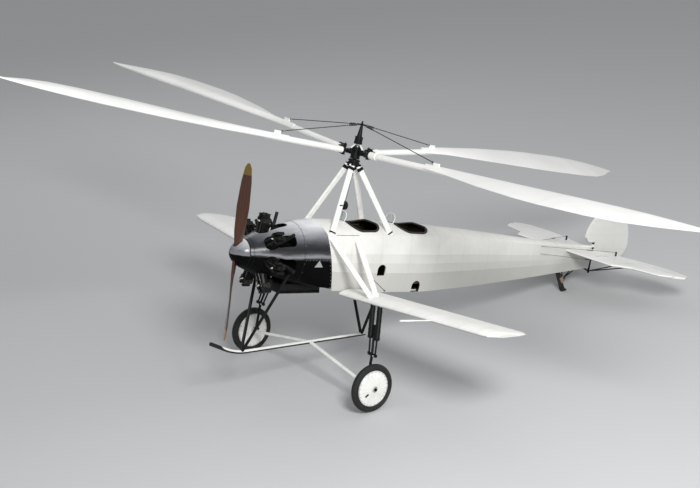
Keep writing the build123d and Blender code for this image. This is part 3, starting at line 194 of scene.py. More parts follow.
def calc(material, operation, *values):
    """One step of arithmetic."""
    return add_node(material, "ShaderNodeMath", {"operation": operation}, enumerate(values)).outputs[0]


def ranged(material, value, low, high, to_low=0.0, to_high=1.0, curve="LINEAR"):
    """A value carried from one range to another and held at both ends."""
    ends = {"From Min": low, "From Max": high, "To Min": to_low, "To Max": to_high}
    settings = {"interpolation_type": curve}
    return add_node(material, "ShaderNodeMapRange", settings, {"Value": value, **ends}).outputs[0]


def noise(material, places, scale, detail=2.0, roughness=0.5):
    """A cloudy pattern."""
    inputs = {"Vector": places, "Scale": scale, "Detail": detail, "Roughness": roughness}
    return add_node(material, "ShaderNodeTexNoise", (), inputs).outputs["Fac"]


def toned(material, value, *stops):
    """A colour by value, through stops of place and hex colour."""
    node = add_node(material, "ShaderNodeValToRGB", (), {"Fac": value})
    elements = node.color_ramp.elements
    for element, (place, tone) in zip(elements, (stops[0], stops[-1])):
        element.position, element.color = place, linear(tone)
    for place, tone in stops[1:-1]:
        elements.new(place).color = linear(tone)
    return node.outputs["Color"]


def mixed(material, share, under, over, way="MIX"):
    """A colour laid over another one."""
    settings = {"data_type": "RGBA", "blend_type": way}
    return add_node(material, "ShaderNodeMix", settings, {0: share, 6: under, 7: over}).outputs[2]


def repaint(material, share, tone):
    """Lays a colour over what a material shows so far."""
    socket = material.node_tree.nodes["Principled BSDF"].inputs["Base Color"]
    feed(socket, mixed(material, share, socket.links[0].from_socket, tone))


def relief(material, height, strength, distance, under=None):
    """A bump, laid over another one where there is one."""
    inputs = {"Height": height, "Strength": strength, "Distance": distance}
    if under:
        inputs["Normal"] = under
    return add_node(material, "ShaderNodeBump", (), inputs).outputs["Normal"]


def doped_linen(name, rib_axis, rib_pitch, rib_start, pale="#EEEDE9", dull="#E2E1DC"):
    """Doped linen: taped ribs as low ridges, slack between them, weave and faint dirt, and painted shade
    where faces turn down.
    """
    cover = fresh(name)
    places = drawn_places(cover)
    cloud = noise(cover, places, 1.6, 5.0, 0.62)
    from_rib = calc(cover, "SUBTRACT", split(cover, places)[rib_axis], rib_start)
    off_rib = calc(cover, "PINGPONG", from_rib, rib_pitch / 2)
    ridge = ranged(cover, off_rib, 0.004, 0.030, 1.0, 0.0, "SMOOTHSTEP")
    warp, weft = [
        add_node(
            cover, "ShaderNodeTexWave", {"wave_type": "BANDS", "bands_direction": way},
            {"Vector": places, "Scale": 78.0, "Distortion": 0.4},
        ).outputs["Fac"]
        for way in "XZ"
    ]
    weave = relief(cover, calc(cover, "ADD", warp, weft), 0.10, 0.0008)
    slack = relief(cover, noise(cover, places, 4.0), 0.16, 0.012, weave)
    tint = toned(cover, cloud, (0.34, dull), (0.58, pale))
    taped = mixed(cover, ridge, tint, "#FAFAFA", "MULTIPLY")
    # Painted shade: the colour goes grey where a face turns down, for the shade under the body, wings and
    # tail.
    downward_shade = ranged(cover, normal_up(cover), 0.10, -0.20)
    shade(cover, {
        "Base Color": mixed(cover, downward_shade, taped, "#BBBAB4"),
        "Normal": relief(cover, ridge, 0.12, 0.003, slack),
        "Roughness": ranged(cover, cloud, 0.0, 1.0, 0.34, 0.56),
        "IOR": 1.47,
    })
    return cover


body_linen = doped_linen("doped_linen_body", "X", 0.56, 0.15)
wing_linen = doped_linen("doped_linen_wing", "Y", 0.33, 0.07, "#FAF9F6", "#F0EFEB")
tail_linen = doped_linen("doped_linen_tail", "Y", 0.26, 0.0, "#FAF9F6", "#F0EFEB")
rudder_linen = doped_linen("doped_linen_rudder", "Z", 0.24, 0.05, "#F4F3F0", "#E9E8E4")
dress(("fuselage_front", "fuselage_rear", "top_decking"), body_linen)
dress(("wings", "aileron_port", "aileron_starboard"), wing_linen)
dress(("tailplane", "elevators"), tail_linen)
dress(("rudder",), rudder_linen)

# The elevators' horns are black steel plates that stand out of the linen, above and below.
_, outboard, height = split(tail_linen, drawn_places(tail_linen))
on_horn = calc(tail_linen, "COMPARE", calc(tail_linen, "ABSOLUTE", outboard), 0.560, 0.0055)
off_chord = calc(tail_linen, "ABSOLUTE", calc(tail_linen, "SUBTRACT", height, 0.045))
off_chord = calc(tail_linen, "GREATER_THAN", off_chord, 0.0225)
repaint(tail_linen, calc(tail_linen, "MULTIPLY", on_horn, off_chord), "#111112")

# Inside the tub and under the decking the linen and its frame are bare and brown, and their near-black tone
# is partly painted shade, for the shade that fills the tub. What faces the middle of the tub is inside.
tub_middle = stance @ Vector((2.600, 0, -0.250))
spots = add_node(body_linen, "ShaderNodeNewGeometry").outputs
inputs = {0: spots["Position"], 1: tub_middle}
arm = add_node(body_linen, "ShaderNodeVectorMath", {"operation": "SUBTRACT"}, inputs).outputs[0]
outer = dot(body_linen, arm, spots["Normal"])
repaint(body_linen, calc(body_linen, "LESS_THAN", outer, -0.02), "#2A231B")

# Rotor blades: ribs of ply on a steel spar, covered in linen and doped white to a smooth skin.
# The ribs lie square to each spar, so each blade's pattern is turned to its own line.
shaft_tilt = radians(4.7)
blade_angle = radians(5.2)
hub_centre = Vector((1.946, 0, 1.473))
shaft_up = Vector((sin(shaft_tilt), 0, cos(shaft_tilt)))
disc_aft = Vector((cos(shaft_tilt), 0, -sin(shaft_tilt)))
blade_swings = [blade_angle + pi / 2 * number for number in range(4)]
blade_ways = [disc_aft * cos(swing) + starboard * sin(swing) for swing in blade_swings]
for number, outward in enumerate(blade_ways, 1):
    cover = fresh(f"doped_linen_blade_{number}")
    places = drawn_places(cover)
    from_hub = calc(cover, "SUBTRACT", dot(cover, places, outward), hub_centre.dot(outward))
    ridge = ranged(cover, calc(cover, "PINGPONG", from_hub, 0.12), 0.003, 0.028, 1.0, 0.0, "SMOOTHSTEP")
    cloud = noise(cover, places, 1.1, 5.0, 0.6)
    shade(cover, {
        "Base Color": toned(cover, cloud, (0.30, "#EFEEEA"), (0.60, "#FAF9F6")),
        "Normal": relief(cover, ridge, 0.25, 0.003),
        "Roughness": 0.42,
        "IOR": 1.47,
    })
    repaint(cover, calc(cover, "LESS_THAN", from_hub, 0.292), "#1A1A1B")
    dress((f"rotor_blade_{number}",), cover)


# Engine cowls and spinner: spun and beaten aluminium, polished above the thrust line and black enamel below
# it, with faint ripples from the beating. Above the thrust line the colour is painted reflection, bright and
# dark grey bands by height made wavy by noise, up to a painted highlight at the crown.
def cowl_finish(name, crown, *tones):
    """Polished sheet: black up to the thrust line, then painted reflections in tones by height, up to a
    painted highlight at its crown.
    """
    sheet = fresh(name)
    places = drawn_places(sheet)
    # Noise that makes the painted reflection bands wavy.
    band_wobble = noise(sheet, drawn_places(sheet, (0.7, 3.0, 3.0)), 2.2, 5.0, 0.6)
    sway = calc(sheet, "MULTIPLY_ADD", band_wobble, crown * 0.26, -crown * 0.13)
    height = calc(sheet, "ADD", split(sheet, places)["Z"], sway)
    edge = ranged(sheet, height, -crown, crown)
    shade(sheet, {
        "Base Color": toned(sheet, edge, (0.0, "#030304"), *tones, (1.0, "#ECEDEF")),
        "Specular IOR Level": ranged(sheet, edge, 0.48, 0.56, 0.06, 0.42),
        "Roughness": ranged(sheet, edge, 0.45, 0.62, 0.46, 0.20),
        "Normal": relief(sheet, noise(sheet, places, 7.0, 1.0), 0.22, 0.008),
    })
    return sheet


# The cowl's grey bands are painted reflections, and its near-white crown is a painted highlight.
cowl_sheet = cowl_finish(
    "enamelled_cowl_sheet_with_painted_reflections", 0.47,
    (0.488, "#050506"), (0.512, "#3A3A3D"), (0.548, "#8C8D91"), (0.59, "#3C3C40"), (0.64, "#222225"),
    (0.70, "#303034"), (0.78, "#606166"), (0.86, "#8D8E93"), (0.93, "#C4C5C8"),
)
dress(("nose_cowl", "engine_cowl"), cowl_sheet)
# The spinner's grey tones above the thrust line are painted reflections, and its near-white top is a painted
# highlight.
spinner_sheet = cowl_finish(
    "enamelled_spinner_sheet_with_painted_reflections", 0.23,
    (0.492, "#050506"), (0.516, "#77787C"), (0.60, "#6C6D71"), (0.70, "#85868A"), (0.85, "#B4B5B8"),
)
dress(("spinner",), spinner_sheet)


def worn_surface(name, dark, pale, rough, metallic, scale, bump_mm):
    """A painted, cast or bare surface: two tones in fine blotches, uneven sheen and fine relief."""
    surface = fresh(name)
    places = add_node(surface, "ShaderNodeTexCoord").outputs["Object"]
    blotch = noise(surface, places, scale, 6.0, 0.6)
    shade(surface, {
        "Base Color": toned(surface, blotch, (0.36, dark), (0.66, pale)),
        "Roughness": ranged(surface, blotch, 0.0, 1.0, *rough),
        "Normal": relief(surface, noise(surface, places, scale * 12), 0.4, bump_mm / 1000),
        "Metallic": metallic,
    })
    return surface


# Struts of pylon and wing, half axles and pitot tube: steel tube under white paint.
strut_paint = worn_surface("brushed_white_strut_paint", "#ECEBE7", "#FAF9F6", (0.3, 0.5), 0.0, 9.0, 0.15)
dress(("pylon_struts", "wing_struts", "half_axles", "pitot_tube"), strut_paint)

# Dark fittings: steel tube, forgings and brackets in black paint, with oil and road dust.
black_steel = worn_surface("brushed_black_steel_paint", "#060607", "#19191A", (0.36, 0.6), 0.0, 26.0, 0.2)
shade(black_steel, {"Specular IOR Level": 0.22})
dress(
    ("pylon_head", "rotor_hub", "rotor_mast", "skid_struts", "oleo_legs", "tail_struts",
     "stern_post", "tail_skid_frame", "control_columns", "firewall", "oil_cooler", "elevator_tube"),
    black_steel,
)

# Cables: stranded steel wire, greased.
wire_steel = worn_surface("drawn_steel_wire", "#3A3A3B", "#6C6C6D", (0.3, 0.5), 1.0, 60.0, 0.1)
dress(("droop_cables",), wire_steel)

# Engine: cast aluminium crankcase, iron barrels with turned fins, steel pipes burnt by heat.
cast_alloy = worn_surface("sand_cast_aluminium", "#6E6E6F", "#9C9C9D", (0.4, 0.6), 0.9, 40.0, 0.6)
dress(("crankcase",), cast_alloy)
fin_iron = worn_surface("turned_cast_iron", "#121212", "#4C4A47", (0.28, 0.5), 0.8, 40.0, 0.5)
dress(("engine_cylinders",), fin_iron)
burnt_steel = worn_surface("heat_burnt_steel", "#0C0B0B", "#211D1B", (0.45, 0.7), 0.3, 22.0, 0.3)
dress(("exhaust_stacks",), burnt_steel)

# Cockpit woodwork, boards and leather, and the ash bar of the tail skid.
plank_wood = worn_surface("varnished_spruce_boards", "#3B2B1D", "#57412C", (0.4, 0.6), 0.0, 14.0, 0.4)
dress(("cockpit_floor",), plank_wood)
tarred_ash = worn_surface("tarred_ash_wood", "#14100D", "#2C231C", (0.5, 0.75), 0.0, 30.0, 0.5)
dress(("tail_skid",), tarred_ash)
board_black = worn_surface("stoved_black_board", "#121212", "#1F1F1F", (0.45, 0.6), 0.0, 30.0, 0.1)
dress(("instrument_panels",), board_black)
hide_brown = worn_surface("tanned_dark_leather", "#1D1612", "#33271F", (0.4, 0.6), 0.0, 30.0, 0.8)
dress(("coamings", "seats"), hide_brown)


# Wheels: linen covers sewn over the spokes and doped white. The spokes show through as fine lines.
def round_hub(material):
    """How far aft and up of the hub a place on a wheel lies, and its angle."""
    x, _, z = split(material, drawn_places(material))
    x, z = calc(material, "SUBTRACT", x, wheel_place.x), calc(material, "SUBTRACT", z, wheel_place.z)
    return x, z, calc(material, "ARCTAN2", z, x)


wheel_linen = fresh("doped_linen_wheel_cover")
_, _, angle = round_hub(wheel_linen)
spoke_line = ranged(wheel_linen, calc(wheel_linen, "PINGPONG", angle, pi / 20), 0.0, 0.045, 1.0, 0.0)
cloud = noise(wheel_linen, drawn_places(wheel_linen), 7.0, 5.0)
tint = toned(wheel_linen, cloud, (0.32, "#E6E5E0"), (0.60, "#F8F7F4"))
shade(wheel_linen, {
    "Base Color": mixed(wheel_linen, spoke_line, tint, "#F4F3F1", "MULTIPLY"),
    "Normal": relief(wheel_linen, spoke_line, 0.1, 0.0015),
    "Roughness": 0.5,
})
dress(("wheel_port", "wheel_starboard"), wheel_linen)

# Tyres: black rubber, dusty on the tread, with blocks in rows round the rim.
tyre_rubber = worn_surface("moulded_black_rubber", "#101010", "#262524", (0.6, 0.85), 0.0, 30.0, 0.6)
x, z, angle = round_hub(tyre_rubber)
groove = ranged(tyre_rubber, calc(tyre_rubber, "PINGPONG", angle, pi / 72), 0.006, 0.012)
square = calc(tyre_rubber, "MULTIPLY_ADD", z, z, calc(tyre_rubber, "MULTIPLY", x, x))
tread = calc(tyre_rubber, "MULTIPLY", groove, ranged(tyre_rubber, square, 0.1050, 0.1085))
rubber_grain = tyre_rubber.node_tree.nodes["Principled BSDF"].inputs["Normal"].links[0].from_socket
shade(tyre_rubber, {"Normal": relief(tyre_rubber, tread, 0.8, 0.004, rubber_grain)})
dress(("tyre_port", "tyre_starboard"), tyre_rubber)

# Nose skid: one long tube, painted white above. Its underside turns black by the way each face turns, partly
# an iron shoe and partly painted shade beneath it, and its tip and scattered chips are bare and blackened
# where they drag.
skid_paint = fresh("scraped_skid_paint_with_painted_shade")
places = drawn_places(skid_paint)
tip = ranged(skid_paint, split(skid_paint, places)["X"], 0.12, 0.02, 0.0, 2.0)
chips = noise(skid_paint, places, 22.0, 6.0, 0.7)
wear = calc(skid_paint, "ADD", calc(skid_paint, "MULTIPLY_ADD", chips, 0.5, -0.18), tip)
# Painted shade in part: faces that turn down go black, together with the worn chips and the tip.
painted = ranged(skid_paint, calc(skid_paint, "SUBTRACT", normal_up(skid_paint), wear), 0.0, 0.12)
shade(skid_paint, {"Base Color": mixed(skid_paint, painted, "#0B0B0B", "#F0EFEB"), "Roughness": 0.5})
dress(("nose_skid",), skid_paint)

# Propeller: eight boards of mahogany glued one on the other, carved and varnished, so that the
# boards' edges run as contour lines over both blades. Both tips are sheathed in pressed brass.
propeller_wood = fresh("carved_laminated_mahogany")
x, _, z = split(propeller_wood, drawn_places(propeller_wood))
joint_line = ranged(propeller_wood, calc(propeller_wood, "PINGPONG", x, 0.011), 0.0088, 0.0104)
grain = noise(propeller_wood, drawn_places(propeller_wood, (30.0, 30.0, 1.6)), 5.0, 6.0, 0.6)
light_board = toned(propeller_wood, grain, (0.0, "#2E1810"), (1.0, "#55301D"))
dark_board = toned(propeller_wood, grain, (0.0, "#1C0F09"), (1.0, "#3A2014"))
sheathed = calc(propeller_wood, "GREATER_THAN", calc(propeller_wood, "ABSOLUTE", z), 1.090)
shade(propeller_wood, {
    "Base Color": mixed(propeller_wood, joint_line, light_board, dark_board),
    "Metallic": sheathed,
    "Roughness": 0.24,
    "Coat Weight": 0.4,
})
repaint(propeller_wood, sheathed, "#A98B4A")
dress(("propeller",), propeller_wood)

# Windscreens: a flat pane of thin clear celluloid before each cockpit. The rims that hold them
# are added further down.
screen_sheet = fresh("cast_celluloid_sheet")
shade(screen_sheet, {"Base Color": "#E9EDEA", "Roughness": 0.06, "Transmission Weight": 0.9, "IOR": 1.2})
dress(("windscreens",), screen_sheet)

# Engine cylinders: iron barrels with turned fins 10 mm apart, shrunk into cast heads with deeper
# fins along the air's way. Two rocker boxes, push-rod tubes, two plugs and an induction pipe each.
engine_station = 0.504
cylinder_count = 7
crank_line = aft * engine_station
rocker_side = 0.037
port_height = 0.386
harness_station = 0.118


def tube(start, end, radius, sides=16, end_radius=None):
    """A round rod between two places."""
    start, end = Vector(start), Vector(end)
    bpy.ops.mesh.primitive_cone_add(
        vertices=sides, radius1=radius, radius2=radius if end_radius is None else end_radius,
        depth=(end - start).length, location=(start + end) / 2,
    )
    rod = bpy.context.object
    rod.rotation_euler = (end - start).to_track_quat("Z", "Y").to_euler()
    return rod


def stud(foot, way, radius, sides=6, end_radius=None):
    """A nut, bolt or short rod that stands on a place."""
    return tube(foot, Vector(foot) + Vector(way), radius, sides, end_radius)


def modified(kind, **settings):
    """Adds a modifier to the active piece and applies it."""
    bpy.ops.object.modifier_add(type=kind)
    modifier = bpy.context.object.modifiers[0]
    for name, value in settings.items():
        setattr(modifier, name, value)
    bpy.ops.object.modifier_apply(modifier=modifier.name)


def block(centre, size, bevel=0.0, turn=(0, 0, 0)):
    """A box of a size about a place, its edges rounded by a bevel."""
    bpy.ops.mesh.primitive_cube_add(size=1, location=centre, scale=size)
    box_piece = bpy.context.object
    bpy.ops.object.transform_apply(location=False, rotation=False, scale=True)
    box_piece.rotation_euler = turn
    if bevel > 0:
        modified("BEVEL", width=bevel, segments=2)
    return box_piece


def plate(centre, size, bevel, across, along):
    """A box of a size about a place, turned to two directions."""
    flat_piece = block((0, 0, 0), size, bevel)
    turn = Matrix((across, along, across.cross(along))).transposed().to_4x4()
    flat_piece.matrix_world = Matrix.Translation(centre) @ turn
    return flat_piece


def bent_pipe(places, radius, closed=False, steps=6):
    """A pipe, wire or roll of one thickness along a smooth line through the drawing."""
    line = bpy.data.curves.new("bent_line", "CURVE")
    line.dimensions = "3D"
    spline = line.splines.new("NURBS")
    spline.points.add(len(places) - 1)
    for point, place in zip(spline.points, places):
        point.co = (*place, 1)
    spline.order_u = 3
    spline.use_endpoint_u = not closed
    spline.use_cyclic_u = closed
    line.resolution_u = steps
    line.bevel_depth = radius
    line.bevel_resolution = 3
    line.use_fill_caps = True
    pipe = bpy.data.objects.new("bent_pipe", line)
    bpy.context.scene.collection.objects.link(pipe)
    bpy.ops.object.select_all(action="DESELECT")
    pipe.select_set(True)
    bpy.context.view_layer.objects.active = pipe
    bpy.ops.object.convert(target="MESH")
    return bpy.context.object


def ring(centre, axis, radius, thickness, sides=40):
    """A round ring, such as a bead, clip or rim, about an axis."""
    bpy.ops.mesh.primitive_torus_add(
        major_radius=radius, minor_radius=thickness, major_segments=sides, minor_segments=10, location=centre
    )
    hoop = bpy.context.object
    hoop.rotation_euler = Vector(axis).to_track_quat("Z", "Y").to_euler()
    return hoop


def around(count, shift=0.0, first=up, second=starboard):
    """Even directions round a centre, from one axis towards another."""
    turns = [2 * pi * (number + shift) / count for number in range(count)]
    return [first * cos(turn) + second * sin(turn) for turn in turns]


def joined(pieces):
    """Several meshes made one."""
    bpy.context.view_layer.update()
    bpy.ops.object.select_all(action="DESELECT")
    for piece in pieces:
        piece.select_set(True)
    bpy.context.view_layer.objects.active = pieces[0]
    if len(pieces) > 1:
        bpy.ops.object.join()
    bpy.ops.object.transform_apply(location=True, rotation=True, scale=True)
    return bpy.context.object


def another(piece, turn):
    """A copy of a joined piece with a mesh of its own, turned to another place."""
    twin = piece.copy()
    twin.data = piece.data.copy()
    twin.data.transform(turn)
    bpy.context.scene.collection.objects.link(twin)
    return twin


def copies(pieces, turns):
    """Joins pieces and puts a copy in their place at each turn."""
    model = joined(pieces)
    twins = [another(model, turn) for turn in turns]
    bpy.data.objects.remove(model)
    return twins


def put(pieces, name, material, body="airframe"):
    """Joins pieces drawn on the drawing's axes, sets them down in the machine and finishes them."""
    whole = joined(pieces)
    whole.name = name
    whole.data.name = name
    whole.data.transform(stance)
    bpy.ops.object.mode_set(mode="EDIT")
    bpy.ops.mesh.select_all(action="SELECT")
    bpy.ops.mesh.normals_make_consistent(inside=False)
    bpy.ops.object.mode_set(mode="OBJECT")
    bpy.ops.object.shade_smooth_by_angle(angle=radians(32))
    whole.data.materials.clear()
    whole.data.materials.append(material)
    if body:
        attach(whole, body)
    return whole


# One cylinder is made standing upright on the crankshaft's line and copied round it.
barrel = [
    tube((engine_station, 0, 0.1765), (engine_station, 0, 0.500), 0.062, 32),
    tube((engine_station, 0, 0.1767), (engine_station, 0, 0.189), 0.078, 32),
]
fin_count = 22
for number in range(fin_count):
    reach = 0.077 + 0.009 * number / (fin_count - 1)
    barrel.append(stud((engine_station, 0, 0.205 + 0.0104 * number), up * 0.0028, reach, 40))
for number in range(9):
    side = -0.072 + 0.018 * number
    barrel.append(block((engine_station, side, 0.470), (0.166 - abs(side) * 0.55, 0.0035, 0.066)))
barrel.append(block((engine_station, 0, 0.457), (0.138, 0.140, 0.036), 0.012))
barrel += [stud(crank_line + out * 0.070 + up * 0.187, up * 0.011, 0.007) for out in around(8, 0.5, aft)]

rockers, push_rods = [], []
for side in (-1, 1):
    rockers += [
        block((engine_station, side * rocker_side, 0.521), (0.118, 0.040, 0.062), 0.009),
        block((engine_station, side * rocker_side, 0.556), (0.130, 0.046, 0.010), 0.004),
        stud((engine_station, side * rocker_side, 0.560), up * 0.010, 0.008),
        tube((engine_station, side * 0.014, 0.535), (engine_station, side * 0.062, 0.535), 0.011, 12),
        tube((0.446, side * rocker_side, 0.490), (0.447, side * rocker_side, 0.530), 0.014, 12),
    ]
    foot, head = Vector((0.404, side * 0.030, 0.182)), Vector((0.446, side * rocker_side, 0.500))
    push_rods += [
        tube(foot, head, 0.0075),
        tube(foot, foot + (head - foot) * 0.10, 0.013),
        tube(foot + (head - foot) * 0.90, head, 0.012),
    ]

plugs, leads = [], []
for fore in (-1, 1):
    root = Vector((engine_station + fore * 0.066, 0, 0.452))
    tip = root + Vector((fore * 0.052, 0, 0.020))
    shoulder = root + (tip - root) * 0.4
    plugs += [tube(root, shoulder, 0.012, 6), tube(shoulder, tip, 0.007, 10, 0.004)]
    elbow = tip + Vector((fore * 0.026, 0, 0.006))
    harness = Vector((engine_station + fore * harness_station, 0.030, 0.205))
    leads.append(bent_pipe((tip, elbow, harness + up * 0.10, harness), 0.0038))

intake_line = ((0.640, -0.026, 0.170), (0.640, -0.026, 0.300), (0.640, -0.034, 0.420), (0.570, -0.040, 0.474))
intake = [bent_pipe(intake_line, 0.019), ring((0.640, -0.026, 0.186), up, 0.021, 0.005, 20)]

plug_china = worn_surface("glazed_plug_china", "#C9C4B6", "#E2DED2", (0.15, 0.3), 0.0, 40.0, 0.05)
lead_rubber = worn_surface("black_rubber_lead", "#121212", "#232323", (0.5, 0.7), 0.0, 60.0, 0.1)
swings = [2 * pi / cylinder_count * number for number in range(cylinder_count)]
round_crank = [Matrix.Rotation(-swing, 4, "X") for swing in swings]
barrels = put(copies(barrel, round_crank), "cylinder_barrels", fin_iron)
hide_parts("engine_cylinders")
# The rocker boxes take the black steel paint, darker than their light alloy, as painted shade for the dark
# recess round the cylinders.
put(copies(rockers, round_crank), "rocker_boxs", black_steel)
put(copies(push_rods, round_crank), "push_rods", wire_steel)
put(copies(plugs, round_crank), "spark_plugs", plug_china)
put(copies(leads, round_crank), "plug_leads", lead_rubber)
# The induction pipes are black as painted shade for the same recess.
put(copies(intake, round_crank), "induction_pipes", black_steel)

# Crankcase dressings: the ignition harness in a ring before and behind the cylinders and the joint
# bolts of the case halves, all of steel.
harness_places = [crank_line + aft * fore * harness_station for fore in (-1, 1)]
harness_rings = [ring(place, aft, 0.203, 0.010, 70) for place in harness_places]
put(harness_rings, "ignition_harness", wire_steel)
case_bolts = [stud(aft * 0.386 + out * 0.148, aft * -0.012, 0.007) for out in around(21, 0.5)]
case_bolts += [stud(aft * 0.303 + out * 0.070, aft * -0.016, 0.006) for out in around(8)]
put(case_bolts, "crankcase_bolts", wire_steel)

# Exhaust pipes: a flange at each port and a rolled rim at each end, closed just inside by a black disc that
# is soot and painted shade of the pipe's bore. The two lowest pipes are short stubs.
pipe_rims, pipe_mouths = [], []
for outward in around(cylinder_count):
    port = crank_line + aft * 0.088 + outward * port_height
    pipe_rims.append(stud(port, aft * 0.010, 0.034, 24))
    if outward.z < -0.8:
        tip, way = port + aft * 0.043, aft
    else:
        tip = port + aft * 0.115 + outward * 0.196
        way = (outward * 0.196 + aft * 0.030).normalized()
    pipe_rims.append(ring(tip, way, 0.0225, 0.0028, 28))
    pipe_mouths.append(tube(tip - way * 0.002, tip + way * 0.0006, 0.0205, 24))
put(pipe_rims, "exhaust_rims", burnt_steel)
# Black for soot inside the exhaust pipes, and on the wheel covers painted shade for holes and slots.
soot_and_hole_shade = worn_surface("black_soot_and_painted_hole_shade", "#050505", "#101010", (0.8, 0.95), 0.0, 60.0, 0.3)
put(pipe_mouths, "exhaust_mouths", soot_and_hole_shade)

# Rotor head: machined steel forgings. A bright collar under the drum, banded housing, nuts on the
# pins of the flapping hinges, the upright drag pins and the banded, bolted sockets of the spars.
head_axes = Matrix((disc_aft, starboard, shaft_up)).transposed().to_4x4()


def on_head(pieces):
    """Joins pieces drawn upright about the rotor hub's centre and tips them onto its shaft."""
    whole = joined(pieces)
    whole.data.transform(Matrix.Translation(hub_centre) @ head_axes)
    return [whole]


machined_steel = worn_surface("machined_bright_steel", "#8C8D8F", "#BFC0C2", (0.18, 0.34), 1.0, 30.0, 0.08)
collar = [tube((0, 0, 0.078), (0, 0, 0.122), 0.049, 40)]
collar += [ring((0, 0, level), up, 0.050, 0.003) for level in (0.082, 0.118)]
put(on_head(collar), "hub_collar", machined_steel, "rotor")

nut_circle = 0.057
bands = [
    ring((0, 0, level), up, radius, thickness)
    for level, radius, thickness in (
        (-0.086, 0.068, 0.005), (0.068, 0.068, 0.005), (0.150, 0.058, 0.004),
        (0.222, 0.056, 0.005), (0.186, 0.057, 0.003),
    )
]
for out in around(12, 0.5, aft):
    bands.append(stud(out * nut_circle + up * 0.074, up * 0.010, 0.006))
    bands.append(stud(out * nut_circle + up * 0.145, up * 0.007, 0.005))
quadrant = []
for side in (-1, 1):
    quadrant += [
        tube((0.150, side * 0.046, 0), (0.150, side * 0.064, 0), 0.022, 6),
        tube((0.150, side * 0.034, 0), (0.150, side * 0.038, 0), 0.026, 24),
        block((0.098, side * 0.036, 0), (0.070, 0.004, 0.050), 0.002),
    ]
bands += copies(quadrant, [Matrix.Rotation(swing, 4, "Z") for swing in blade_swings])
put(on_head(bands), "hub_bands_and_nuts", black_steel, "rotor")

# Weather covers over the straps of the hub: pale painted sheet, folded at both edges.
covers = []
for swing in blade_swings:
    out, across = Vector((cos(swing), sin(swing), 0)), Vector((-sin(swing), cos(swing), 0))
    low, high = out * 0.122 + up * 0.052, out * 0.044 + up * 0.120
    slope = high - low
    covers.append(plate((low + high) / 2, (0.034, slope.length, 0.003), 0.001, across, slope.normalized()))
put(on_head(covers), "hub_weather_covers", strut_paint, "rotor")

# Blade roots: on each the drag hinge's pin with its cap and grease cup, and a bolted steel tab
# along the top of the spar's socket.
cone_angle = radians(2.7)
for number, (swing, outward) in enumerate(zip(blade_swings, blade_ways), 1):
    across = starboard * cos(swing) - disc_aft * sin(swing)
    along = outward * cos(cone_angle) + shaft_up * sin(cone_angle)
    above = shaft_up * cos(cone_angle) - outward * sin(cone_angle)
    pin = hub_centre + along * 0.245
    fittings = [
        tube(pin - above * 0.058, pin + above * 0.058, 0.020, 20),
        tube(pin + above * 0.052, pin + above * 0.068, 0.026, 6),
        tube(pin - above * 0.068, pin - above * 0.052, 0.026, 6),
        tube(pin + above * 0.066, pin + above * 0.082, 0.009, 12),
        ring(hub_centre + along * 0.294, along, 0.0545, 0.005),
        plate(pin + along * 0.070 + above * 0.055, (0.030, 0.105, 0.012), 0.004, across, along),
    ]
    for reach in (0.045, 0.085, 0.112):
        fittings.append(stud(pin + along * reach + above * 0.058, above * 0.008, 0.007))
    put(fittings, f"blade_root_fittings_{number}", black_steel, "rotor")

# The head's underside: the rotor brake's rod, of black steel, hangs between the struts with its
# cable of steel wire below it.
under_head = hub_centre - shaft_up * 0.150
brake = [
    stud(under_head, (0.004, 0, -0.160), 0.011, 12),
    stud(under_head + Vector((0.004, 0, -0.150)), up * -0.046, 0.017, 12, 0.008),
]
put(brake, "rotor_brake_rod", black_steel)
brake_cable = [tube(under_head + Vector((0.004, 0, -0.19)), (1.905, 0.05, 0.478), 0.0035, 8)]
put(brake_cable, "rotor_brake_cable", wire_steel)


# Ends of the streamlined struts of the pylon: a steel socket with a band and a cross bolt at each.
def strut_socket(end, way, chord, thickness, reach):
    """A steel socket round the end of a streamlined strut, with a bolt through it."""
    across = (aft - way * way.x).normalized()
    side = way.cross(across)
    middle, half_bolt = end + way * reach / 2, side * (thickness / 2 + 0.008)
    return [
        plate(middle, (chord, thickness, reach), 0.012, across, side),
        tube(middle - half_bolt, middle + half_bolt, 0.008, 6),
        plate(end + way * (reach - 0.004), (chord + 0.006, thickness + 0.006, 0.006), 0.002, across, side),
    ]


pylon_ends = []
for foot_x, spread in ((1.458, -0.062), (2.555, 0.062)):
    for side in (-1, 1):
        foot = Vector((foot_x, side * 0.338, 0.334))
        top = hub_centre - shaft_up * 0.164 + disc_aft * spread + Vector((0, side * 0.048, -0.022))
        way = (top - foot).normalized()
        pylon_ends += strut_socket(top - way * 0.02, -way, 0.096, 0.040, 0.055)
        pylon_ends += strut_socket(foot + way * 0.026, way, 0.096, 0.040, 0.030)
put(pylon_ends, "pylon_strut_sockets", black_steel)

# Air-speed dial: a round instrument in a dark case, clipped behind the port front pylon strut
# where the pilot reads it. White ticks on black and one needle, with no lettering.
dial_centre = Vector((1.722, -0.213, 0.742))
strut_spot = Vector((1.640, -0.214, 0.742))
dial_case = [
    tube(dial_centre - aft * 0.030, dial_centre, 0.062, 40),
    ring(dial_centre + aft * 0.001, aft, 0.058, 0.005),
    tube(strut_spot, dial_centre - aft * 0.028, 0.009, 12),
    block(strut_spot - aft * 0.004, (0.060, 0.046, 0.018), 0.004),
]
put(dial_case, "strut_dial_case", black_steel)


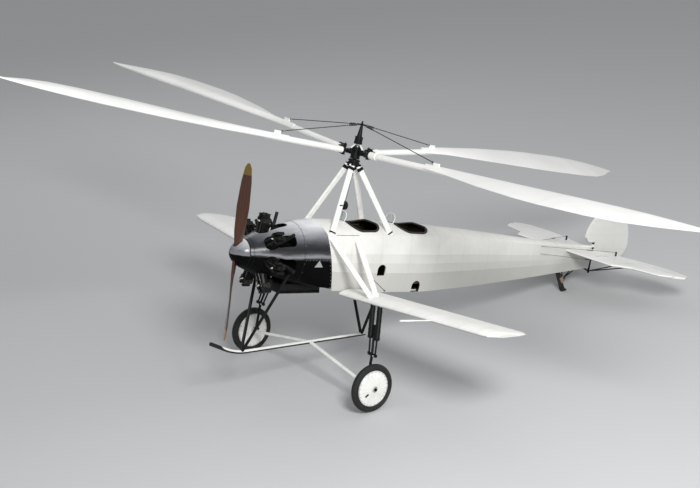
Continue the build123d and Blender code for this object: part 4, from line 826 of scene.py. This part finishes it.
def dial_marks(centre, radius, needle_turn):
    """Ticks round a dial's face, and its needle, standing just proud of the glass."""
    marks = []
    for number in range(12):
        spot = radians(-150 + 27.3 * number)
        out = Vector((0, sin(spot), cos(spot))) * radius
        marks.append(tube(centre + out * 0.72, centre + out * 0.88, radius * 0.024, 6))
    out = Vector((0, sin(needle_turn), cos(needle_turn))) * radius
    marks.append(tube(centre - out * 0.12, centre + out * 0.66, radius * 0.034, 6, radius * 0.012))
    return marks


dial_white = worn_surface("luminous_dial_paint", "#D8D9C8", "#ECECDD", (0.5, 0.6), 0.0, 60.0, 0.05)
strut_marks = dial_marks(dial_centre + aft * 0.002, 0.056, radians(-80))
put(strut_marks, "strut_dial_marks", dial_white)

# Instrument boards: four dials in each cockpit with brass bezels, ticks and needles, and the
# board's fixing screws.
bezels, marks, screws = [], [], []
for board_x in (1.864, 2.782):
    for number in range(4):
        face = Vector((board_x + 0.0015, -0.225 + 0.150 * number, 0.240))
        bezels.append(ring(face, aft, 0.044, 0.0035))
        marks += dial_marks(face + aft * 0.001, 0.042, radians(-110 + 60 * number))
    for number in range(6):
        screws.append(stud((board_x - 0.008, -0.300 + 0.120 * number, 0.160), aft * 0.003, 0.006, 12))
brass = worn_surface("dull_turned_brass", "#7A6232", "#A88B4C", (0.25, 0.45), 1.0, 40.0, 0.08)
put(bezels, "dial_bezels", brass)
put(marks, "dial_marks", dial_white)
put(screws, "board_screws", brass)

# Coamings: horsehair rolled in brown hide and laced over the raw edge of the decking, with a
# stitched seam along the inner side. One roll goes round each cockpit.
deck_stations = (
    (1.320, 0.346, 0.336, 0.488),
    (2.200, 0.362, 0.345, 0.482),
    (3.300, 0.356, 0.332, 0.436),
    (3.450, 0.350, 0.326, 0.424),
)


def arc_radius(half, rise):
    """Radius of an arc of a half width and a rise."""
    return (half * half + rise * rise) / (2 * rise)


def deck_height(x, y):
    """Height of the rounded decking at a place, between the stations that it was drawn with."""
    for before, after in zip(deck_stations, deck_stations[1:]):
        if before[0] <= x <= after[0]:
            share = (x - before[0]) / (after[0] - before[0])
            half, shoulder, crown = [a + (b - a) * share for a, b in zip(before[1:], after[1:])]
            arc = arc_radius(half, crown - shoulder)
            return crown - arc + (arc * arc - y * y) ** 0.5


coaming_rolls, coaming_stitches = [], []
roll_radius = 0.0165
corner = 0.1775
half_wide = 0.3075 - corner
for front, rear in ((1.870, 2.430), (2.788, 3.368)):
    middle = (front + rear) / 2
    half_long = (rear - front) / 2 - 0.0125 - corner
    line = []
    for quarter, (fore, side) in enumerate(((1, 1), (-1, 1), (-1, -1), (1, -1))):
        for step in range(7):
            spot = radians(90 * quarter + 15 * step)
            x = middle + fore * half_long + corner * cos(spot)
            y = side * half_wide + corner * sin(spot)
            line.append(Vector((x, y, deck_height(x, y) + 0.002)))
    coaming_rolls.append(bent_pipe(line, roll_radius, closed=True, steps=8))
    for number in range(2 * len(line)):
        start, end = line[number // 2], line[(number // 2 + 1) % len(line)]
        here = start.lerp(end, number % 2 / 2)
        foot = here + (Vector((middle, 0, here.z)) - here).normalized() * roll_radius
        coaming_stitches.append(tube(foot + up * 0.004, foot + Vector((0.003, 0.003, -0.006)), 0.0016, 6))
hide_roll = worn_surface("stuffed_brown_hide", "#17110D", "#2B2019", (0.38, 0.6), 0.0, 34.0, 1.2)
rolls = put(coaming_rolls, "coaming_rolls", hide_roll)
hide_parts("coamings")
waxed_thread = worn_surface("waxed_flax_thread", "#8A7A5C", "#B3A382", (0.6, 0.8), 0.0, 80.0, 0.1)
put(coaming_stitches, "coaming_stitches", waxed_thread)

# Windscreens: each clear pane sits in a white painted rim of metal channel with two feet.
screen_rims = []
rake = radians(22)
screen_up = Vector((sin(rake), 0, cos(rake)))
screen_out = Vector((cos(rake), 0, -sin(rake)))
pane_half, pane_shoulder, pane_rise, pane_foot = 0.105, 0.0825, 0.0975, 0.030
arc = arc_radius(pane_half, pane_rise)
reach = atan2(pane_half, arc - pane_rise)
outline = [(-pane_half, pane_foot), (-pane_half, pane_shoulder)]
for step in range(1, 12):
    spot = reach * (step / 6 - 1)
    outline.append((arc * sin(spot), pane_shoulder + pane_rise - arc + arc * cos(spot)))
outline += [(pane_half, pane_shoulder), (pane_half, pane_foot)]
for front in (1.824, 2.742):
    foot = Vector((front, 0, deck_height(front, 0) - 0.030)) + screen_out * 0.003
    screen_rims.append(bent_pipe([foot + starboard * y + screen_up * z for y, z in outline], 0.0055, steps=4))
    for side in (-1, 1):
        shoe = foot + starboard * side * 0.090 + screen_up * pane_foot
        screen_rims.append(block(shoe, (0.030, 0.026, 0.010), 0.003))
put(screen_rims, "windscreen_rims", strut_paint)

# Control columns: a ribbed rubber grip on each and a leather gaiter round its foot.
grips, gaiters = [], []
for stick_x in (2.020, 2.938):
    stick_top = Vector((stick_x + 0.010, 0, 0.170))
    stick_knee = Vector((stick_x - 0.020, 0, -0.060))
    way = (stick_top - stick_knee).normalized()
    grips.append(tube(stick_top - way * 0.130, stick_top + way * 0.004, 0.020, 24, 0.017))
    for number in range(9):
        grips.append(ring(stick_top - way * (0.124 - 0.0135 * number), way, 0.0195, 0.0028, 24))
    for number in range(4):
        foot = (stick_x, 0, -0.318 + 0.016 * number)
        gaiters.append(ring(foot, up, 0.040 - 0.007 * number, 0.010, 28))
put(grips, "stick_grips", tyre_rubber)
put(gaiters, "stick_gaiters", hide_roll)

# Wheels: aluminium rings where hub and rim meet the linen, brass lacing eyelets round the linen
# covers, the axle's steel nut and the moulded beads of the tyre's walls.
bright_channel = worn_surface("drawn_aluminium_channel", "#C4C6C8", "#E3E4E6", (0.25, 0.4), 0.7, 30.0, 0.05)
wheel_hubs = (
    ("port", -1, Vector((wheel_place.x, -wheel_place.y, wheel_place.z))),
    ("starboard", 1, wheel_place),
)
for side_name, side, hub in wheel_hubs:
    wheel_body = f"wheel_{side_name}_body"
    hub_rings, eyelets, beads = [], [], []
    for face in (-1, 1):
        hub_rings.append(ring(hub + starboard * face * 0.067, starboard, 0.047, 0.004, 40))
        hub_rings.append(ring(hub + starboard * face * 0.035, starboard, 0.2485, 0.004, 80))
    put(hub_rings, f"hub_rings_{side_name}", bright_channel, wheel_body)
    end = hub + starboard * side * 0.074
    nut = [stud(end, starboard * side * 0.016, 0.026), stud(end, starboard * side * 0.024, 0.015, 16)]
    put(nut, f"axle_nut_{side_name}", black_steel)
    for face in (-1, 1):
        for out in around(24, 0.0, aft, up):
            eyelet = hub + out * 0.236 + starboard * face * 0.0366
            eyelets.append(ring(eyelet, starboard, 0.0042, 0.0013, 10))
        for reach, out, thick in (
            (0.268, 0.0371351, 0.0035), (0.282, 0.0454595, 0.0022), (0.300, 0.0515, 0.0018),
        ):
            beads.append(ring(hub + starboard * face * out, starboard, reach, thick, 96))
    put(eyelets, f"cover_eyelets_{side_name}", brass, wheel_body)
    put(beads, f"tyre_beads_{side_name}", tyre_rubber, wheel_body)

# Legs: end caps and clamp bands on the casings, bright bolts in the cross bracket.
leg_caps, leg_bolts = [], []
for side in (-1, 1):
    leg_top = Vector((1.745, side * 1.190, -0.44698376))
    bracket = Vector((1.667, side * 1.345, -1.114))
    way = (bracket - leg_top).normalized()
    for offset in (-0.075, 0.075):
        apart = starboard * offset
        for share in (0.10, 0.30, 0.50):
            leg_caps.append(stud(leg_top + (bracket - leg_top) * share + apart, way * 0.014, 0.041, 28))
        casing_end = leg_top + (bracket - leg_top) * 0.68 + apart
        leg_caps.append(tube(casing_end - way * 0.02, casing_end + way * 0.012, 0.042, 28, 0.030))
        for fore in (-1, 1):
            ear = bracket + apart * 0.86 + aft * fore * 0.030
            leg_bolts.append(stud(ear, aft * fore * 0.012, 0.011))
    for fore in (-1, 1):
        leg_bolts.append(stud((1.656 + fore * 0.044, side * 1.348, -1.517), aft * fore * 0.012, 0.015))
put(leg_caps, "leg_casing_caps", black_steel)
put(leg_bolts, "leg_bolts", bright_channel)

# Wing struts: steel sockets at both ends, as on the pylon, under white paint.
wing_ends = []
for top_x, foot_x in ((1.458, 1.795), (1.919, 1.890)):
    for side in (-1, 1):
        top = Vector((top_x, side * 0.355, 0.292))
        foot = Vector((foot_x, side * 1.000, -0.409))
        way = (foot - top).normalized()
        wing_ends += strut_socket(top + way * 0.040, way, 0.102, 0.041, 0.040)
        wing_ends += strut_socket(foot - way * 0.030, -way, 0.102, 0.041, 0.040)
put(wing_ends, "wing_strut_sockets", strut_paint)

# Tail controls: wires run from the horns of the elevators forward into the rear fuselage, each with a
# turnbuckle.
wire_lengths = 12
for side, side_name in ((-1, "port"), (1, "starboard")):
    for high, level_name in ((-1, "lower"), (1, "upper")):
        horn = Vector((7.204, side * 0.560, 0.045 + high * 0.088))
        entry = Vector((5.900, side * 0.140, 0.070 + high * 0.060))
        way = (entry - horn).normalized()
        step = (entry - horn) / wire_lengths
        wire = [stud(horn + step * number, step, 0.0028, 8) for number in range(wire_lengths)]
        wire.append(tube(horn + way * 0.42, horn + way * 0.54, 0.0075, 10))
        wire.append(ring(horn, starboard, 0.009, 0.003, 14))
        wire = put(wire, f"elevator_wire_{side_name}_{level_name}", wire_steel, None)
        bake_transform(wire)

# Tail skid: the bar's top is held in a steel shackle under the fuselage, the shock cord is wound
# round the pivot, and the iron shoe's nails are worn bright where it drags.
shackle = [block((6.521, side * 0.034, -0.322), (0.060, 0.006, 0.060), 0.002) for side in (-1, 1)]
shackle.append(tube((6.521, -0.044, -0.334), (6.521, 0.044, -0.334), 0.009, 12))
put(shackle, "skid_shackle", black_steel)
bar_middle = Vector((6.640, 0, -0.452))
bar_way = Vector((0.200, 0, -0.268)).normalized()
turns = [bar_middle + bar_way * (0.011 * number) for number in range(-4, 5)]
windings = [ring(turn, bar_way, 0.042, 0.0056, 26) for turn in turns]
shock_cord = worn_surface("woven_cotton_shock_cord", "#6E6653", "#A79B80", (0.7, 0.9), 0.0, 90.0, 0.8)
put(windings, "skid_shock_cord", shock_cord)
shoe_iron = worn_surface("scraped_iron_shoe", "#4A4948", "#8A8988", (0.3, 0.55), 1.0, 30.0, 0.3)
nails = []
for number in range(4):
    back = 0.022 * number
    nail = Vector((6.772 - back * cos(tail_down), -0.030, -0.636 - back * sin(tail_down)))
    nails.append(stud(nail, starboard * 0.060, 0.0045, 10))
put(nails, "skid_shoe_nails", shoe_iron)

# Cowl joints: the nose cowl laps over the engine cowl behind the cylinders, with turn buttons
# along the lap, along the rear edge and beside the hinge line of each side panel.
bpy.context.view_layer.update()


def on_skin(node, origin, way):
    """The place where a line on the drawing's axes meets a CAD piece, or None."""
    hit, place, _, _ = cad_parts[node].ray_cast(stance @ Vector(origin), stance.to_3x3() @ Vector(way))
    return from_stance @ place if hit else None


def beside(node, side, x, z):
    """The place on a CAD piece that is seen from one side at X and Z, or None."""
    return on_skin(node, (x, side * 0.9, z), starboard * -side)


lap_steps = 120
lap_lines, buttons = [], []
for node, lap_x, first, least in (("nose_cowl", 0.262, 0, 0.20), ("engine_cowl", 0.997, 4, 0.30)):
    runs = [[]]
    for step in range(first, first + lap_steps + 1):
        swing = 2 * pi * step / lap_steps
        out = Vector((0, sin(swing), cos(swing)))
        place = on_skin(node, aft * lap_x + out * 0.9, -out)
        if place is None or hypot(place.y, place.z) <= least:
            runs.append([])
            continue
        runs[-1].append(place)
        if step % 6 == 3:
            buttons.append(stud(place + aft * 0.014 - out * 0.001, out * 0.004, 0.0055, 12))
    lap_lines += [bent_pipe(run, 0.0028, steps=3) for run in runs if len(run) > 3]
for side in (-1, 1):
    hinge = [beside("engine_cowl", side, 1.002 + 0.010 * step, 0.006) for step in range(46)]
    for place in hinge[3::6]:
        for rise in (-0.020, 0.020):
            buttons.append(stud(place + up * rise, starboard * side * 0.004, 0.005, 12))
    lap_lines.append(bent_pipe(hinge, 0.0030, steps=2))
    for step in range(15):
        level = -0.42 + 0.055 * step
        place = beside("engine_cowl", side, 1.326 + (0.492 - level) / 0.962 * 0.244, level)
        if place is not None and abs(place.y) > 0.12:
            buttons.append(stud(place, starboard * side * 0.004, 0.006, 12))
put(lap_lines, "cowl_laps", black_steel)
put(buttons, "cowl_turn_buttons", machined_steel)

# Small pale triangle painted on each side of the engine cowl, at the filler's door.
painted_marks = []
mark_corner_x, mark_corner_z, mark_width, mark_height, rows = 1.187, -0.112, 0.150, 0.098, 8
for side in (-1, 1):
    places, faces, index = [], [], {}
    for down in range(rows + 1):
        for across in range(rows + 1 - down):
            x = mark_corner_x + mark_width * (across + down / 2) / rows
            z = mark_corner_z + mark_height * down / rows
            index[across, down] = len(places)
            places.append(beside("engine_cowl", side, x, z) + starboard * side * 0.0012)
    for across, down in index:
        here, right = index[across, down], index.get((across + 1, down))
        below, beyond = index.get((across, down + 1)), index.get((across + 1, down + 1))
        if right is not None:
            faces.append((here, right, below))
        if beyond is not None:
            faces.append((right, beyond, below))
    mark_mesh = bpy.data.meshes.new("painted_mark")
    mark_mesh.from_pydata(places, [], faces)
    mark = bpy.data.objects.new("painted_mark", mark_mesh)
    bpy.context.scene.collection.objects.link(mark)
    bpy.context.view_layer.objects.active = mark
    modified("SOLIDIFY", thickness=0.0008, offset=0)
    painted_marks.append(mark)
faded_grey = worn_surface("faded_grey_paint", "#8C8C8A", "#B0B0AD", (0.45, 0.6), 0.0, 40.0, 0.1)
put(painted_marks, "cowl_triangles", faded_grey)

# Spinner: a dark rolled joint ring at its back plate and the seams of its two halves beside the
# blades, with countersunk screws.
spinner_joints = [ring((0.2085, 0, 0), aft, 0.2045, 0.0040, 90)]
spinner_screws = []
for side in (-1, 1):
    seam = [beside("spinner", side, 0.206 - 0.018 * step, 0.060) for step in range(9)]
    for place in seam[1::2]:
        spinner_screws.append(stud(place - up * 0.014, starboard * side * 0.002, 0.0036, 12))
    spinner_joints.append(bent_pipe(seam, 0.0022, steps=3))
put(spinner_joints, "spinner_joints", black_steel, "propeller_body")
put(spinner_screws, "spinner_screws", machined_steel, "propeller_body")

# Deck joint: a black line of painted shade along the gap where the decking meets the upper longeron beside
# the front cockpit, from the cowl back to the strut.
deck_gap_shade_lines = []
for side in (-1, 1):
    run = [beside("fuselage_front", side, 1.540 + 0.040 * step, 0.338) for step in range(11)]
    deck_gap_shade_lines.append(bent_pipe(run, 0.0032, steps=2))
put(deck_gap_shade_lines, "deck_gap_shade_lines", black_steel)

# Bracing: a stranded wire on each side from the rear wing strut's fitting down to the keel. It lies
# along the skin, held by an eye at each end.
keel_wires = []
for side in (-1, 1):
    run = []
    for step in range(6):
        place = beside("fuselage_front", side, 2.240 + 0.400 * step / 6, -0.262 - 0.262 * step / 6)
        run.append(place + starboard * side * 0.0030)
    keel_wires.append(bent_pipe(run, 0.0034, steps=3))
    keel_wires += [ring(end, starboard, 0.009, 0.003, 16) for end in (run[0], run[-1])]
put(keel_wires, "keel_wires", black_steel)

# Wheel covers: a black ring round the hub's cap on both faces and a black strip over the valve outside,
# painted shade standing for the hole and the slot.
for side_name, side, hub in wheel_hubs:
    over_valve = on_skin(f"wheel_{side_name}", hub + Vector((-0.092, side * 0.4, -0.078)), starboard * -side)
    holes = [block(over_valve, (0.105, 0.0030, 0.024), 0.001, (0, -0.707, 0))]
    holes += [ring(hub + starboard * face * 0.0725, starboard, 0.036, 0.0068, 40) for face in (-1, 1)]
    put(holes, f"cover_holes_{side_name}", soot_and_hole_shade, f"wheel_{side_name}_body")

# Oil cooler: a shallow tinned tank slung under the cowl, with thin fins across its bottom.
cooler = [block((1.175, 0, -0.470), (0.722, 0.326, 0.122), 0.014)]
for number in range(24):
    cooler.append(block((0.826 + 0.0303 * number, 0, -0.528), (0.0035, 0.350, 0.044), 0.0012))
cooler += [stud((0.830, side * 0.120, -0.500), aft * -0.015, 0.022, 16) for side in (-1, 1)]
# The tank takes the black steel paint, darker than tinned sheet, as painted shade for the shadow under the
# cowl.
cooler = put(cooler, "oil_cooler_tank", black_steel)
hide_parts("oil_cooler")


# Seats: each bucket holds a seat cushion and a back pad, a hide case stuffed with horsehair. Each
# is blown up from a fine closed shell by cloth simulation, its swell capped, then tufted.
def stuffed_case(name, size, cap, channel_pitch):
    """A closed hide case swelled by its stuffing, with sewn channels along its length."""
    bpy.ops.mesh.primitive_cube_add(size=1, scale=size)
    case = bpy.context.object
    case.name = name
    bpy.ops.object.transform_apply(location=False, rotation=False, scale=True)
    modified("BEVEL", width=size[2] * 0.42, segments=4)
    modified("REMESH", mode="VOXEL", voxel_size=0.006)
    flat_places = [vertex.co.copy() for vertex in case.data.vertices]
    bpy.ops.object.modifier_add(type="CLOTH")
    cloth = case.modifiers[0]
    cloth.settings.use_pressure = True
    cloth.settings.uniform_pressure_force = 4
    cloth.settings.effector_weights.gravity = 0
    cloth.settings.tension_stiffness = 30
    cloth.settings.compression_stiffness = 30
    cloth.point_cache.frame_start = 1
    cloth.point_cache.frame_end = 20
    for frame_number in range(1, 21):
        bpy.context.scene.frame_set(frame_number)
    blown = case.evaluated_get(bpy.context.evaluated_depsgraph_get())
    swelled = [vertex.co.copy() for vertex in blown.data.vertices]
    case.modifiers.remove(cloth)
    for vertex, flat, full in zip(case.data.vertices, flat_places, swelled):
        move = full - flat
        vertex.co = flat + move * min(1.0, cap / max(move.length, 1e-6))
    bpy.context.scene.frame_set(1)
    for vertex in case.data.vertices:
        off_seam = abs((vertex.co.y + channel_pitch / 2) % channel_pitch - channel_pitch / 2)
        if abs(vertex.co.y) < (size[1] - channel_pitch) / 2 and vertex.co.z > 0:
            vertex.co.z -= 0.011 * max(0.0, 1 - off_seam / 0.016) ** 2
    modified("SUBSURF", levels=1)
    return case


seat_hide = worn_surface("buttoned_brown_hide", "#3A2417", "#5B3B27", (0.36, 0.6), 0.0, 30.0, 1.0)
seat_case = stuffed_case("seat_case", (0.318, 0.362, 0.058), 0.012, 0.072)
back_case = stuffed_case("back_case", (0.330, 0.356, 0.040), 0.009, 0.072)
for seat_name, seat_rear in (("front", 2.450), ("rear", 3.388)):
    for pad_name, case, before_rear, height, lean in (
        ("cushion", seat_case, 0.214, -0.199, 0.035), ("back_pad", back_case, 0.052, 0.022, -1.500),
    ):
        place = Matrix.Translation((seat_rear - before_rear, 0, height))
        pad = another(case, place @ Matrix.Rotation(lean, 4, "Y"))
        pad = put([pad], f"seat_{pad_name}_{seat_name}", seat_hide)
bpy.data.objects.remove(seat_case)
bpy.data.objects.remove(back_case)

# Droop cables: each starts in a barrel turnbuckle. It gets a lock nut at both ends of the barrel, a
# thimble at the mast's fork and a shackle at the blade's bracket.
cable_ends = []
cable_places = [from_stance @ vertex.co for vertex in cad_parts["droop_cables"].data.vertices]
mast_fork = hub_centre + shaft_up * 0.409
for outward in blade_ways:
    far_ring = [place for place in cable_places if (place - hub_centre).dot(outward) > 1.2]
    far_end = sum(far_ring, Vector()) / len(far_ring)
    way = (far_end - mast_fork).normalized()
    for reach in (0.096, 0.234):
        cable_ends.append(stud(mast_fork + way * reach, way * 0.012, 0.0165))
    for reach in (0.262, 0.300):
        cable_ends.append(stud(mast_fork + way * reach, way * 0.016, 0.0088, 12))
    cable_ends.append(tube(far_end - way * 0.070, far_end - way * 0.030, 0.0105, 12))
    cable_ends.append(ring(far_end - way * 0.018, outward.cross(shaft_up), 0.012, 0.0036, 20))
put(cable_ends, "cable_turnbuckles", machined_steel, "rotor")

# Propeller hub: eight steel bolts hold the wooden boss to its plate behind the spinner.
hub_bolts = [stud(aft * 0.190 + out * 0.062, aft * 0.030, 0.0075) for out in around(8)]
put(hub_bolts, "propeller_hub_bolts", machined_steel, "propeller_body")
